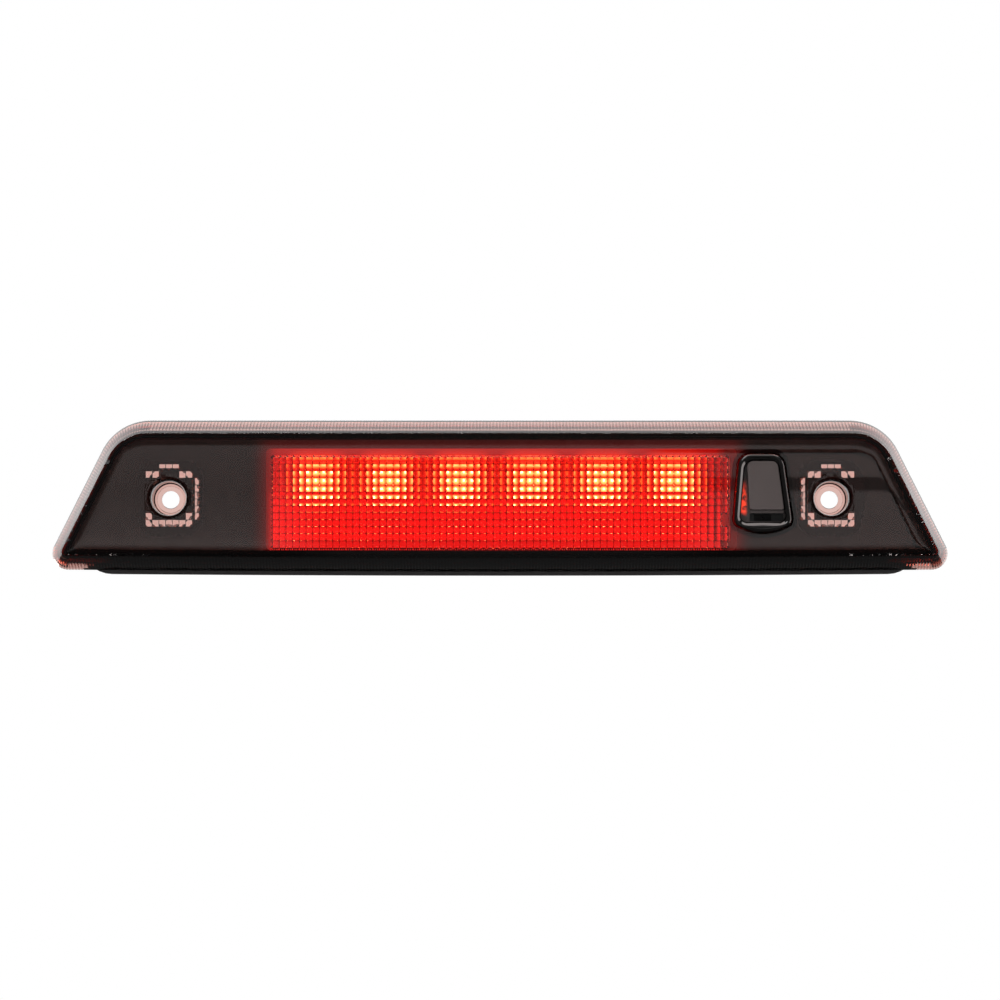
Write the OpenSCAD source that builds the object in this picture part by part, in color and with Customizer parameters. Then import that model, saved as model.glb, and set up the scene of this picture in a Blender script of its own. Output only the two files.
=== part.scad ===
// Third brake light with a built-in washer nozzle, for a vehicle's tailgate.
// Millimetres. The origin lies midway between the two mounting screw holes, on
// the plane where the wells meet the tailgate. +X runs along the lamp, -Y is the
// way the light shines and +Z is up.

/* [Lens] */
// Widest distance across the lens, near its lower edge
lens_w = 330; // [275:1:400]
// Height of the lens rim between its lower and upper edges
lens_h = 55; // [45:0.5:70]
// Distance from the mounting plane forward to the front face
lens_depth = 20; // [16:0.5:26]
// Sideways lean of the two ends for each millimetre of height
side_slope = 0.5; // [0.2:0.05:0.6]
// Radius of the two upper corners of the rim
upper_corner_r = 20; // [10:1:22]
// Radius of the two lower corners of the rim
lower_corner_r = 6; // [5:0.5:9]
// How far the lower edge bows down at its middle
lower_bow = 0.8; // [0.2:0.1:2]
// Thickness of the lens plastic
lens_wall = 2.5; // [2:0.1:3.2]

/* [Mounting] */
// Distance from the widest point of each side in to the screw axis
screw_side = 43.5; // [38:0.5:50]
// Height of the middle of the lens above the screw axes
screw_below_middle = 1.7; // [0:0.1:3]
// Diameter of the clearance hole for a mounting screw
screw_hole_d = 6.5; // [5:0.1:8]
// Bore of the well that takes the screw head
well_bore_d = 13; // [12:0.1:15]
// Thickness of the floor at the bottom of each well
well_floor = 3; // [2:0.1:5]
// Diameter of the two locating pegs
peg_d = 6; // [4:0.1:8]
// Reach of the locating pegs behind the mounting plane
peg_reach = 6; // [4:0.5:10]

/* [Housing] */
// Distance from the front face of the lens back to the housing face
face_setback = 11; // [9:0.5:13]
// Thickness of the housing plastic
housing_wall = 2; // [1.6:0.1:2.4]
// Thickness of the foam gasket
gasket_t = 3; // [2:0.1:4]
// Room behind the circuit board for its parts
board_room = 6.4; // [5:0.1:10]

/* [Lamp] */
// Depth of the reflector tray from the housing face to its floor
tray_depth = 12; // [10:0.5:18]
// Distance from the left screw axis to the inside of the tray
tray_left_gap = 38; // [30:0.5:45]
// Distance from the nozzle's middle to the inside of the tray
tray_right_gap = 11.75; // [11.7:0.05:16]
// Distance from the left end of the tray to the first light
led_left = 16.2; // [10:0.1:20]
// Distance from the last light to the right end of the tray
led_right = 20.2; // [10:0.1:24]
// Height of the row of lights above the screw axes
led_rise = 5.4; // [-5:0.1:7]
// Thickness of the circuit board
board_t = 1.6; // [1:0.1:2.4]

/* [Washer nozzle] */
// Distance from the right screw axis to the middle of the nozzle
nozzle_gap = 25.25; // [24:0.25:30]
// Width of the nozzle bezel at its lower edge
nozzle_lower_w = 22.3; // [20:0.1:26]
// Width of the nozzle bezel at its upper edge
nozzle_upper_w = 16.6; // [12:0.1:20]
// How far the top of the bezel leans toward the lamp's middle
nozzle_lean = 0.7; // [0:0.1:3]
// Distance from the top of the lens to the top of the bezel
nozzle_above = 12.9; // [10:0.1:16]
// Distance from the foot of the lens to the foot of the bezel
nozzle_below = 12.8; // [11:0.1:16]
// Travel of the check valve poppet when it opens
valve_lift = 1.2; // [0.5:0.1:1.6]
// Outer diameter of the washer hose barb between its ridges
barb_d = 4.6; // [4:0.1:6]
// Bore through the hose barb
barb_bore = 3; // [1.5:0.1:3.4]

/* [Hidden] */
$fn = 64;
// Overshoot of a cutting shape past the face that it opens
past = 1;
// Straight pieces that stand in for each rounded corner of an outline
arc_steps = 10;

// ---- Depths along Y, worked out from the front face back ----
front_y = -lens_depth;
face_y = front_y + face_setback;
flange_y = -gasket_t - housing_wall;
rim_y = -gasket_t;
tray_floor_y = face_y + tray_depth;
tray_wall = 1;
board_gap = 2;
board_y = tray_floor_y + tray_wall + board_gap;
board_back_y = board_y + board_t;
bucket_floor_y = board_back_y + board_room;
bucket_back_y = bucket_floor_y + housing_wall;

// ---- Outline of the lens rim ----
rim_top = lens_h / 2 + screw_below_middle;
rim_foot = screw_below_middle - lens_h / 2;
slope_length = sqrt(1 + side_slope * side_slope);
foot_half_w = lens_w / 2 + lower_corner_r * (side_slope + slope_length - 1);
top_half_w = foot_half_w - side_slope * lens_h;
// Share of each half of the lower edge that the bow curves
bow_reach = 0.75;
bow_corner_drop = lower_bow / (1 - bow_reach / 2);
bow_r = bow_reach * foot_half_w / (bow_corner_drop / foot_half_w);
rim_corners = [
    [-foot_half_w, rim_foot], [0, rim_foot - bow_corner_drop],
    [foot_half_w, rim_foot], [top_half_w, rim_top], [-top_half_w, rim_top]
];

// Insets from the rim as [ends, top, foot]
front_inset = [4.6, 5.7, 4.9];
leg_inset = [5, 5.8, 4.7];
leg_t = 1.5;
leg_clear = 0.2;
housing_inset = leg_inset + all_round(leg_t + leg_clear);
flange_width = 7;
gasket_inset = [7, 7, -1.4];
gasket_width = 6;
gasket_corner_r = 11.5;
bead_t = 0.6;
leg_end_y = flange_y - bead_t;

// ---- Screw wells ----
screw_x = lens_w / 2 - screw_side;
screw_xs = [-screw_x, screw_x];
well_wall = 1.85;
well_d = well_bore_d + 2 * well_wall;
floor_ring_d = screw_hole_d + 3.4;
floor_ring_depth = 0.6;
aperture_side_room = 1.65;
aperture_end_room = 3.5;
aperture_w = well_d + 2 * aperture_side_room;
aperture_h = well_d + 2 * aperture_end_room;
aperture_r = 6;
aperture_rib_gap = 1.4;
aperture_rib_t = 0.9;

// ---- Washer nozzle outline ----
nozzle_x = screw_x - nozzle_gap;
chin_drop = 3.4;
bezel_top = rim_top - nozzle_above;
bezel_chin = rim_foot + nozzle_below;
bezel_foot = bezel_chin + chin_drop;
nozzle_z = (bezel_top + bezel_foot) / 2;
bezel_quad = [
    [nozzle_x - nozzle_lower_w / 2, bezel_foot],
    [nozzle_x + nozzle_lower_w / 2, bezel_foot],
    [nozzle_x - nozzle_lean + nozzle_upper_w / 2, bezel_top],
    [nozzle_x - nozzle_lean - nozzle_upper_w / 2, bezel_top]
];
// The chin is an arc whose tangents meet this far below the foot
chin_corner_drop = 1.76 * chin_drop;
chin_half_angle = atan(nozzle_lower_w / 2 / chin_corner_drop);
chin_reach = 0.79 * norm([nozzle_lower_w / 2, chin_corner_drop]);
bezel_corners = [
    bezel_quad[0], [nozzle_x, bezel_foot - chin_corner_drop],
    bezel_quad[1], bezel_quad[2], bezel_quad[3]
];
bezel_radii = [3, chin_reach * tan(chin_half_angle), 3, 5, 5];
bezel_clear = 0.3;
bezel_proud = 1;
bezel_depth = 5;
collar_t = 1.6;
collar_end_y = face_y - 1.4;
// Gaps from the bezel's [foot, right, top, left] edge to the opening in it
window_gaps = [0.6, 2.4, 2.6, 2.7];
window_clear = 0.15;
panel_gap = 0.35;
panel_left_gap = 1.9;
mouth_h = 2.9;
mouth_depth = 1.2;
lip_h = 0.9;
lip_gap = 0.3;
block_front_y = front_y + 3;
panel_front_y = front_y - 0.4;
lip_front_y = front_y + 0.6;
plate_y = front_y - bezel_proud + bezel_depth + bezel_proud;
plate_t = 3;
insert_w = 6.4;
insert_l = 3.2;
orifice_d = 1;

// ---- Check valve and hose barb ----
neck_d = 13;
shoulder_d = 16.8;
grommet_t = 1.5;
neck_clear = 0.2;
clip_t = 0.8;
clip_groove_d = 11.4;
clip_y = face_y + housing_wall;
chamber_d = 8;
chamber_y = clip_y + clip_t + 0.2;
spring_l = 6;
poppet_y = chamber_y + spring_l;
poppet_t = 2;
poppet_d = 6.4;
stem_d = 2.6;
stem_l = spring_l + 1.5;
stem_clear = 0.05;
seat_gap = 0.05;
seat_y = poppet_y + poppet_t + seat_gap;
plug_l = 10;
plug_clear = 0.05;
barb_flange_y = seat_y + plug_l;
barb_flange_t = 2;
barb_l = 20;
ring_section = 1;
ring_groove_y = seat_y + plug_l / 2;
spring_wire = 0.5;
spring_mean_r = 2.3;
spring_turns = 5;
feed_d = 2;
feed_drop = 2.6;

// ---- Reflector tray and circuit board ----
tray_clear = 0.3;
tray_lip = 1.5;
tray_lip_t = 1.2;
tray_head_room = 5.8;
tray_left = tray_left_gap - screw_x;
tray_right = nozzle_x - tray_right_gap;
tray_foot = rim_foot + housing_inset[2] + housing_wall + tray_clear + tray_wall;
tray_top = rim_top - housing_inset[1] - tray_head_room;
tray_box = [tray_left, tray_foot, tray_right, tray_top];
bucket_box = grown(tray_box, tray_wall + tray_clear);
led_count = 6;
led_pitch = (tray_right - tray_left - led_left - led_right) / (led_count - 1);
led_window_d = 7;
fin_t = 1;
fin_h = 5;
board_margin = 1;
board_box = grown(tray_box, -board_margin);
boss_inset = 4.5;
boss_d = 6;
board_screw_d = 2.2;
board_screw_l = 5;
board_hole_d = 3.2;
boss_places = [
    [board_box[0] + boss_inset, board_box[1] + boss_inset],
    [board_box[2] - boss_inset, board_box[1] + boss_inset],
    [board_box[0] + boss_inset, board_box[3] - boss_inset],
    [board_box[2] - boss_inset, board_box[3] - boss_inset]
];

// ---- Connector and vent on the back ----
header_x = tray_left + 28;
header_z = (tray_foot + tray_top) / 2;
header_w = 18;
header_h = 13;
header_wall = 1.8;
header_l = 16;
header_floor_y = bucket_back_y + 3;
header_flange = 2.5;
header_flange_t = 2;
blade_pitch = 7;
blade_w = 2.8;
blade_t = 0.8;
blade_clear = 0.2;
seal_t = 2;
seal_width = 2.6;
vent_x = tray_right - 34;
vent_z = header_z;
vent_pipe_d = 8;
vent_bore_d = 4;
vent_pipe_l = 4;
vent_cap_wall = 1.3;
membrane_t = 0.3;
peg_x = screw_x - 19;
peg_z = rim_foot + housing_inset[2] + 9.5;

// ---- Functions for outlines ----
function all_round(gap) = [gap, gap, gap];
function unit(v) = v / norm(v);
function cross_2d(a, b) = a[0] * b[1] - a[1] * b[0];
// Normal that points into an outline whose corners run anticlockwise
function inward(a, b) = let (d = unit(b - a)) [-d[1], d[0]];
// Point where the line through p along u meets the line through q along v
function meet(p, u, q, v) = p + u * cross_2d(q - p, v) / cross_2d(u, v);
// Corners with each edge moved in by its own gap; edge i leaves corner i
function moved_in(corners, gaps) =
    let (n = len(corners))
    [for (i = [0:n - 1])
        let (h = (i + n - 1) % n, a = corners[h], b = corners[i], c = corners[(i + 1) % n])
        meet(b + inward(a, b) * gaps[h], b - a, b + inward(b, c) * gaps[i], c - b)];
// Arc that rounds corner b between its neighbours a and c
function corner_arc(a, b, c, r) =
    let (
        u = unit(a - b),
        v = unit(c - b),
        half = acos(u * v) / 2,
        centre = b + unit(u + v) * r / sin(half),
        start = b + u * r / tan(half) - centre,
        first = atan2(start[1], start[0]),
        turn = 180 - 2 * half
    )
    [for (k = [0:arc_steps])
        centre + r * [cos(first + turn * k / arc_steps), sin(first + turn * k / arc_steps)]];
function rounded(corners, radii) =
    let (n = len(corners))
    [for (i = [0:n - 1])
        each corner_arc(corners[(i + n - 1) % n], corners[i], corners[(i + 1) % n], radii[i])];
// Box given as [left, foot, right, top], made larger by a margin
function grown(box, by) = box + [-by, -by, by, by];
function box_corners(b) = [[b[0], b[1]], [b[2], b[1]], [b[2], b[3]], [b[0], b[3]]];
function led_x(i) = tray_left + led_left + i * led_pitch;

// ---- Shared shapes ----
// An outline drawn in X and Z, made solid between two depths
module slab(from_y, to_y)
    translate([0, to_y, 0])
        rotate([90, 0, 0])
            linear_extrude(to_y - from_y)
                children();

// A round rod along Y between two depths
module rod(d, from_y, to_y, x, z)
    translate([x, to_y, z])
        rotate([90, 0, 0])
            cylinder(d = d, h = to_y - from_y);

module rim_outline(inset) {
    gaps = [inset[2], inset[2], inset[0], inset[1], inset[0]];
    low_r = max(lower_corner_r - inset[0], 1);
    high_r = max(upper_corner_r - inset[0], 1);
    polygon(rounded(moved_in(rim_corners, gaps), [low_r, bow_r, low_r, high_r, high_r]));
}

module gasket_outline(inset, r) {
    gaps = [inset[2], inset[2], inset[0], inset[1], inset[0]];
    polygon(rounded(moved_in(rim_corners, gaps), [r, bow_r, r, r, r]));
}

module box_outline(box, r)
    polygon(rounded(box_corners(box), [r, r, r, r]));

module centred_outline(x, z, w, h, r)
    box_outline([x - w / 2, z - h / 2, x + w / 2, z + h / 2], r);

module bezel_outline(gap) {
    gaps = [gap, gap, gap, gap, gap];
    polygon(rounded(moved_in(bezel_corners, gaps), [for (r = bezel_radii) r - gap]));
}

module window_outline(extra) {
    gaps = [for (g = window_gaps) g + extra];
    polygon(rounded(moved_in(bezel_quad, gaps), [2.2, 2.2, 3.6, 3.6]));
}

module at_screws()
    for (x = screw_xs)
        translate([x, 0, 0])
            children();

// ---- Lens ----
module lens_shell()
    difference() {
        hull() {
            slab(front_y, front_y + 0.5)
                rim_outline(front_inset);
            slab(rim_y - 0.5, rim_y)
                rim_outline(all_round(0));
        }
        hull() {
            slab(front_y + lens_wall, front_y + lens_wall + 0.5)
                rim_outline(front_inset + all_round(lens_wall));
            slab(rim_y, rim_y + past)
                rim_outline(all_round(lens_wall));
        }
    }

module outer_lens() {
    color([0.85, 0.45, 0.42, 0.5])
        difference() {
            union() {
                lens_shell();
                difference() {
                    slab(front_y + lens_wall - 0.5, leg_end_y)
                        rim_outline(leg_inset);
                    slab(front_y, leg_end_y + past)
                        rim_outline(leg_inset + all_round(leg_t));
                }
                at_screws()
                    rod(well_d, front_y + 0.5, 0, 0, 0);
                slab(front_y + 0.5, collar_end_y)
                    bezel_outline(-collar_t);
            }
            at_screws() {
                rod(well_bore_d, front_y - past, -well_floor, 0, 0);
                rod(screw_hole_d, front_y - past, past, 0, 0);
                rod(floor_ring_d, -well_floor - past, floor_ring_depth - well_floor, 0, 0);
            }
            slab(front_y - past, past)
                bezel_outline(0);
        }
}

module lens_sealant() {
    color([0.12, 0.12, 0.13])
        difference() {
            slab(leg_end_y, flange_y)
                rim_outline(leg_inset);
            slab(leg_end_y - past, flange_y + past)
                rim_outline(leg_inset + all_round(leg_t));
        }
}

// ---- Housing ----
module aperture(extra, r)
    centred_outline(0, 0, aperture_w + 2 * extra, aperture_h + 2 * extra, r);

module housing_solid() {
    slab(face_y, face_y + housing_wall)
        rim_outline(housing_inset);
    difference() {
        slab(face_y, rim_y)
            rim_outline(housing_inset);
        slab(face_y - past, rim_y + past)
            rim_outline(housing_inset + all_round(housing_wall));
    }
    difference() {
        slab(flange_y, rim_y)
            rim_outline(leg_inset);
        slab(flange_y - past, rim_y + past)
            rim_outline(leg_inset + all_round(flange_width));
    }
    slab(face_y, bucket_back_y)
        box_outline(grown(bucket_box, housing_wall), 3);
    at_screws()
        slab(face_y - 1, face_y + housing_wall)
            aperture(aperture_rib_gap + aperture_rib_t, aperture_r + 1);
    for (side = [-1, 1])
        rod(peg_d, face_y + 1, peg_reach, side * peg_x, peg_z);
    rod(vent_pipe_d, bucket_floor_y + 1, bucket_back_y + vent_pipe_l, vent_x, vent_z);
}

module rear_housing() {
    color([0.09, 0.09, 0.1])
        difference() {
            union() {
                difference() {
                    housing_solid();
                    slab(face_y - past, bucket_floor_y)
                        box_outline(bucket_box, 1.5);
                }
                for (place = boss_places)
                    rod(boss_d, board_back_y, bucket_floor_y + 1, place[0], place[1]);
            }
            at_screws() {
                slab(face_y - 1 - past, face_y)
                    aperture(aperture_rib_gap, aperture_r);
                slab(face_y - past, past)
                    aperture(0, aperture_r);
            }
            for (place = boss_places)
                rod(board_screw_d + 0.1, board_back_y - past, board_back_y + board_screw_l,
                    place[0], place[1]);
            rod(neck_d + 2 * neck_clear, face_y - past, past, nozzle_x, nozzle_z);
            rod(vent_bore_d, bucket_floor_y - past, bucket_back_y + vent_pipe_l + past,
                vent_x, vent_z);
            slab(bucket_floor_y - past, bucket_back_y + past)
                centred_outline(header_x, header_z, header_w, header_h, 2);
        }
}

module body_gasket() {
    color([0.05, 0.05, 0.05])
        difference() {
            slab(rim_y, 0)
                gasket_outline(gasket_inset, gasket_corner_r);
            slab(rim_y - past, past)
                rim_outline(leg_inset + all_round(gasket_width));
            slab(rim_y - past, past)
                box_outline(grown(bucket_box, housing_wall), 3);
        }
}

// ---- Reflector, board and lights ----
module reflector() {
    color([0.75, 0.12, 0.1])
        difference() {
            union() {
                slab(face_y, tray_floor_y + tray_wall)
                    box_outline(grown(tray_box, tray_wall), 1.4);
                slab(face_y - tray_lip_t, face_y)
                    box_outline(grown(tray_box, tray_wall + tray_lip), 1.6);
            }
            difference() {
                slab(face_y - tray_lip_t - past, tray_floor_y)
                    box_outline(tray_box, 1);
                for (i = [1:led_count - 1])
                    translate([led_x(i) - led_pitch / 2 - fin_t / 2, tray_floor_y - fin_h, tray_foot - 1])
                        cube([fin_t, fin_h + 1, tray_top - tray_foot + 2]);
            }
            for (i = [0:led_count - 1])
                rod(led_window_d, tray_floor_y - past, tray_floor_y + tray_wall + past,
                    led_x(i), led_rise);
        }
}

module blade_slots(w, t, from_y, to_y)
    for (side = [-1, 1])
        translate([header_x + side * blade_pitch / 2 - w / 2, from_y, header_z - t / 2])
            cube([w, to_y - from_y, t]);

module led_board() {
    color([0.05, 0.3, 0.15])
        difference() {
            slab(board_y, board_back_y)
                box_outline(board_box, 2);
            for (place = boss_places)
                rod(board_hole_d, board_y - past, board_back_y + past, place[0], place[1]);
            blade_slots(blade_w + blade_clear, blade_t + blade_clear,
                board_y - past, board_back_y + past);
        }
}

module led(i) {
    package = 3.5;
    package_t = 1.5;
    dome_d = 2.8;
    color([1, 0.3, 0.15])
        translate([led_x(i), board_y, led_rise]) {
            translate([-package / 2, -package_t, -package / 2])
                cube([package, package_t, package]);
            intersection() {
                translate([0, -package_t, 0])
                    sphere(d = dome_d);
                translate([-dome_d / 2, -package_t - dome_d, -dome_d / 2])
                    cube([dome_d, dome_d + package_t / 2, dome_d]);
            }
        }
}

// A rectangular part soldered to the back of the board
module chip(x, z, w, t, h)
    translate([x - w / 2, board_back_y, z - h / 2])
        cube([w, t, h]);

module series_resistors() {
    color([0.1, 0.1, 0.1])
        for (i = [0:led_count - 1])
            chip(led_x(i) + 5, tray_top - 6, 6.4, 0.7, 3.2);
}

module blocking_diode() {
    color([0.12, 0.12, 0.12])
        chip(led_x(2), tray_foot + 7, 5.4, 2.3, 3.6);
}

module surge_suppressor() {
    color([0.15, 0.15, 0.15])
        chip(led_x(3), tray_foot + 7, 7, 2.4, 5.8);
}

module current_regulator() {
    color([0.08, 0.08, 0.08])
        union() {
            chip(led_x(4) - 8, tray_foot + 8, 6.6, 2.3, 6.1);
            chip(led_x(4) - 8, tray_foot + 12, 5.4, 0.6, 3);
            for (side = [-1, 1])
                chip(led_x(4) - 8 + side * 2.3, tray_foot + 3.8, 0.8, 0.6, 2.6);
        }
}

module board_screws() {
    head_d = 4.4;
    head_t = 1.4;
    recess_d = 2;
    color([0.7, 0.7, 0.72])
        for (place = boss_places)
            difference() {
                union() {
                    rod(head_d, board_y - head_t, board_y, place[0], place[1]);
                    rod(board_screw_d, board_y - 0.2, board_back_y + board_screw_l - 0.5,
                        place[0], place[1]);
                }
                rod(recess_d, board_y - head_t - past, board_y - head_t + 0.8,
                    place[0], place[1]);
            }
}

// ---- Connector ----
module terminal_blades() {
    color([0.8, 0.68, 0.35])
        blade_slots(blade_w, blade_t, board_y - 0.6, bucket_back_y + header_l - 3);
}

module solder_joints() {
    color([0.78, 0.78, 0.8])
        difference() {
            for (side = [-1, 1])
                rod(4, board_y - 0.5, board_y, header_x + side * blade_pitch / 2, header_z);
            blade_slots(blade_w, blade_t, board_y - past, board_y + past);
        }
}

module connector_header() {
    latch_w = 6;
    latch_t = 1.4;
    color([0.13, 0.13, 0.14])
        difference() {
            union() {
                slab(bucket_floor_y - header_flange_t, bucket_floor_y)
                    centred_outline(header_x, header_z, header_w + 2 * header_flange,
                        header_h + 2 * header_flange, 2);
                slab(bucket_floor_y - 0.5, bucket_back_y + header_l)
                    centred_outline(header_x, header_z, header_w, header_h, 2);
                translate([header_x - latch_w / 2, bucket_back_y + 9, header_z + header_h / 2 - 0.2])
                    cube([latch_w, 3, latch_t]);
            }
            slab(header_floor_y, bucket_back_y + header_l + past)
                centred_outline(header_x, header_z, header_w - 2 * header_wall,
                    header_h - 2 * header_wall, 1);
            blade_slots(blade_w, blade_t, bucket_floor_y - header_flange_t - past,
                header_floor_y + past);
        }
}

module header_seal() {
    color([0.3, 0.3, 0.32])
        difference() {
            slab(bucket_back_y, bucket_back_y + seal_t)
                centred_outline(header_x, header_z, header_w + 2 * seal_width,
                    header_h + 2 * seal_width, 3);
            slab(bucket_back_y - past, bucket_back_y + seal_t + past)
                centred_outline(header_x, header_z, header_w, header_h, 2);
        }
}

// ---- Vent ----
module vent_cap() {
    cap_d = vent_pipe_d + 2 * vent_cap_wall;
    pipe_end_y = bucket_back_y + vent_pipe_l;
    air_gap = 0.7;
    slot_w = 2;
    color([0.12, 0.12, 0.12])
        difference() {
            rod(cap_d, bucket_back_y + 1, pipe_end_y + air_gap + vent_cap_wall, vent_x, vent_z);
            rod(vent_pipe_d, bucket_back_y, pipe_end_y + air_gap, vent_x, vent_z);
            translate([vent_x - slot_w / 2, bucket_back_y, vent_z - cap_d])
                cube([slot_w, vent_pipe_l + air_gap, 2 * cap_d]);
        }
}

module vent_membrane() {
    color([0.95, 0.95, 0.95])
        rod(vent_pipe_d - 0.6, bucket_back_y + vent_pipe_l,
            bucket_back_y + vent_pipe_l + membrane_t, vent_x, vent_z);
}

// ---- Washer nozzle ----
mouth_foot = bezel_foot + window_gaps[0] + 0.4;
mouth_z = mouth_foot + mouth_h / 2;
lip_foot = mouth_foot + mouth_h + 0.1;
panel_foot = lip_foot + lip_h + lip_gap;
panel_gaps = [
    panel_foot - bezel_foot, window_gaps[1] + panel_gap,
    window_gaps[2] + panel_gap, window_gaps[3] + panel_left_gap
];
// The panel's lower left corner stands further right, and its upper left one further left
panel_skew = [[1.3, 0], [0, 0], [0, 0], [-1.2, 0]];
panel_corners = moved_in(bezel_quad, panel_gaps) + panel_skew;

module nozzle_bezel() {
    color([0.04, 0.04, 0.05])
        difference() {
            slab(front_y - bezel_proud, plate_y)
                bezel_outline(bezel_clear);
            slab(front_y - bezel_proud - past, plate_y + past)
                window_outline(0);
        }
}

module nozzle_body() {
    groove_d = neck_d + past;
    mouth_w = panel_corners[1][0] - panel_corners[0][0];
    color([0.2, 0.2, 0.21])
        difference() {
            union() {
                slab(block_front_y, plate_y)
                    window_outline(window_clear);
                slab(panel_front_y, block_front_y + 0.5)
                    polygon(rounded(panel_corners, [0.8, 0.8, 2.2, 2.2]));
                translate([panel_corners[0][0] + 0.4, lip_front_y, lip_foot])
                    cube([mouth_w - 0.6, block_front_y + 0.5 - lip_front_y, lip_h]);
                slab(plate_y, plate_y + plate_t)
                    polygon(rounded(moved_in(bezel_quad, [0.8, 0.8, 0.8, 0.8]), [2, 2, 3.4, 3.4]));
                rod(shoulder_d, plate_y + plate_t - 0.5, face_y - grommet_t, nozzle_x, nozzle_z);
                rod(neck_d, face_y - grommet_t - 0.5, barb_flange_y, nozzle_x, nozzle_z);
            }
            translate([panel_corners[0][0], block_front_y - past, mouth_foot])
                cube([mouth_w, mouth_depth + past, mouth_h]);
            translate([nozzle_x - insert_w / 2, block_front_y + mouth_depth - 0.5, mouth_foot + 0.2])
                cube([insert_w, insert_l + 0.5, mouth_h - 0.4]);
            difference() {
                rod(groove_d, clip_y, clip_y + clip_t, nozzle_x, nozzle_z);
                rod(clip_groove_d, clip_y - past, clip_y + clip_t + past, nozzle_x, nozzle_z);
            }
            rod(chamber_d, chamber_y, barb_flange_y + past, nozzle_x, nozzle_z);
            rod(stem_d + 2 * stem_clear, poppet_y - stem_l - valve_lift - 0.5, chamber_y + past,
                nozzle_x, nozzle_z);
            rod(feed_d, plate_y + plate_t / 2, chamber_y + past, nozzle_x, nozzle_z - feed_drop);
            translate([nozzle_x, plate_y + plate_t / 2, mouth_z])
                cylinder(d = feed_d - 0.4, h = nozzle_z - feed_drop - mouth_z);
        }
}

module nozzle_insert() {
    insert_y = block_front_y + mouth_depth;
    color([0.1, 0.1, 0.1])
        difference() {
            translate([nozzle_x - insert_w / 2, insert_y, mouth_foot + 0.2])
                cube([insert_w, insert_l, mouth_h - 0.4]);
            rod(orifice_d, insert_y - past, insert_y + insert_l + past, nozzle_x, mouth_z);
            translate([nozzle_x, plate_y + plate_t / 2, mouth_z])
                cylinder(d = feed_d - 0.4, h = mouth_h);
        }
}

module nozzle_grommet() {
    color([0.07, 0.07, 0.07])
        difference() {
            rod(shoulder_d, face_y - grommet_t, face_y, nozzle_x, nozzle_z);
            rod(neck_d, face_y - grommet_t - past, face_y + past, nozzle_x, nozzle_z);
        }
}

module retaining_clip() {
    clip_w = 15.4;
    clip_up = 8;
    clip_down = 8.5;
    slot_w = clip_groove_d + 0.1;
    color([0.6, 0.6, 0.62])
        difference() {
            translate([nozzle_x - clip_w / 2, clip_y, nozzle_z - clip_down])
                cube([clip_w, clip_t, clip_up + clip_down]);
            rod(slot_w, clip_y - past, clip_y + clip_t + past, nozzle_x, nozzle_z);
            translate([nozzle_x - slot_w / 2, clip_y - past, nozzle_z - clip_down - past])
                cube([slot_w, clip_t + 2 * past, clip_down + past]);
        }
}

module check_poppet() {
    color([0.9, 0.9, 0.85])
        union() {
            rod(poppet_d, poppet_y, poppet_y + poppet_t, nozzle_x, nozzle_z);
            rod(stem_d, poppet_y - stem_l, poppet_y + 0.5, nozzle_x, nozzle_z);
        }
}

// Rings of points round the wire, set one after another along the coil
module coil(mean_r, wire, turns, length) {
    sides = 8;
    rings_per_turn = 14;
    rings = turns * rings_per_turn;
    rise = (length - wire) / rings;
    points = [for (k = [0:rings], s = [0:sides - 1])
        let (
            angle = k * 360 / rings_per_turn,
            lean = s * 360 / sides,
            r = mean_r + wire / 2 * cos(lean)
        )
        [r * cos(angle), wire / 2 + k * rise + wire / 2 * sin(lean), r * sin(angle)]];
    walls = [for (k = [0:rings - 1], s = [0:sides - 1])
        let (a = k * sides + s, b = k * sides + (s + 1) % sides)
        [a, b, b + sides, a + sides]];
    first_cap = [for (s = [sides - 1:-1:0]) s];
    last_cap = [for (s = [0:sides - 1]) rings * sides + s];
    polyhedron(points, concat(walls, [first_cap, last_cap]));
}

module check_spring() {
    color([0.75, 0.75, 0.78])
        translate([nozzle_x, chamber_y, nozzle_z])
            coil(spring_mean_r, spring_wire, spring_turns, spring_l);
}

module hose_barb() {
    plug_r = chamber_d / 2 - plug_clear;
    groove_half = ring_section / 2 + 0.3;
    ring_room = plug_l / 2;
    stem_r = barb_d / 2;
    ridge_r = stem_r + 0.8;
    ridge_l = 4;
    ridge_start = plug_l + barb_flange_t + 7;
    tip = plug_l + barb_flange_t + barb_l;
    ridges = [for (k = [0:2])
        each [[stem_r, ridge_start + k * ridge_l], [ridge_r, ridge_start + k * ridge_l + 0.4]]];
    profile = concat(
        [[barb_bore / 2, 0], [plug_r, 0], [plug_r, ring_room - groove_half],
         [plug_r - ring_section, ring_room - groove_half],
         [plug_r - ring_section, ring_room + groove_half], [plug_r, ring_room + groove_half],
         [plug_r, plug_l], [neck_d / 2, plug_l], [neck_d / 2, plug_l + barb_flange_t],
         [stem_r, plug_l + barb_flange_t]],
        ridges,
        [[stem_r, tip], [barb_bore / 2, tip]]);
    color([0.15, 0.15, 0.16])
        translate([nozzle_x, seat_y, nozzle_z])
            rotate([-90, 0, 0])
                rotate_extrude()
                    polygon(profile);
}

module barb_o_ring() {
    ring_r = chamber_d / 2 - plug_clear - ring_section / 2;
    color([0.06, 0.06, 0.06])
        translate([nozzle_x, ring_groove_y, nozzle_z])
            rotate([90, 0, 0])
                rotate_extrude()
                    translate([ring_r, 0])
                        circle(d = ring_section, $fn = 24);
}

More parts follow.
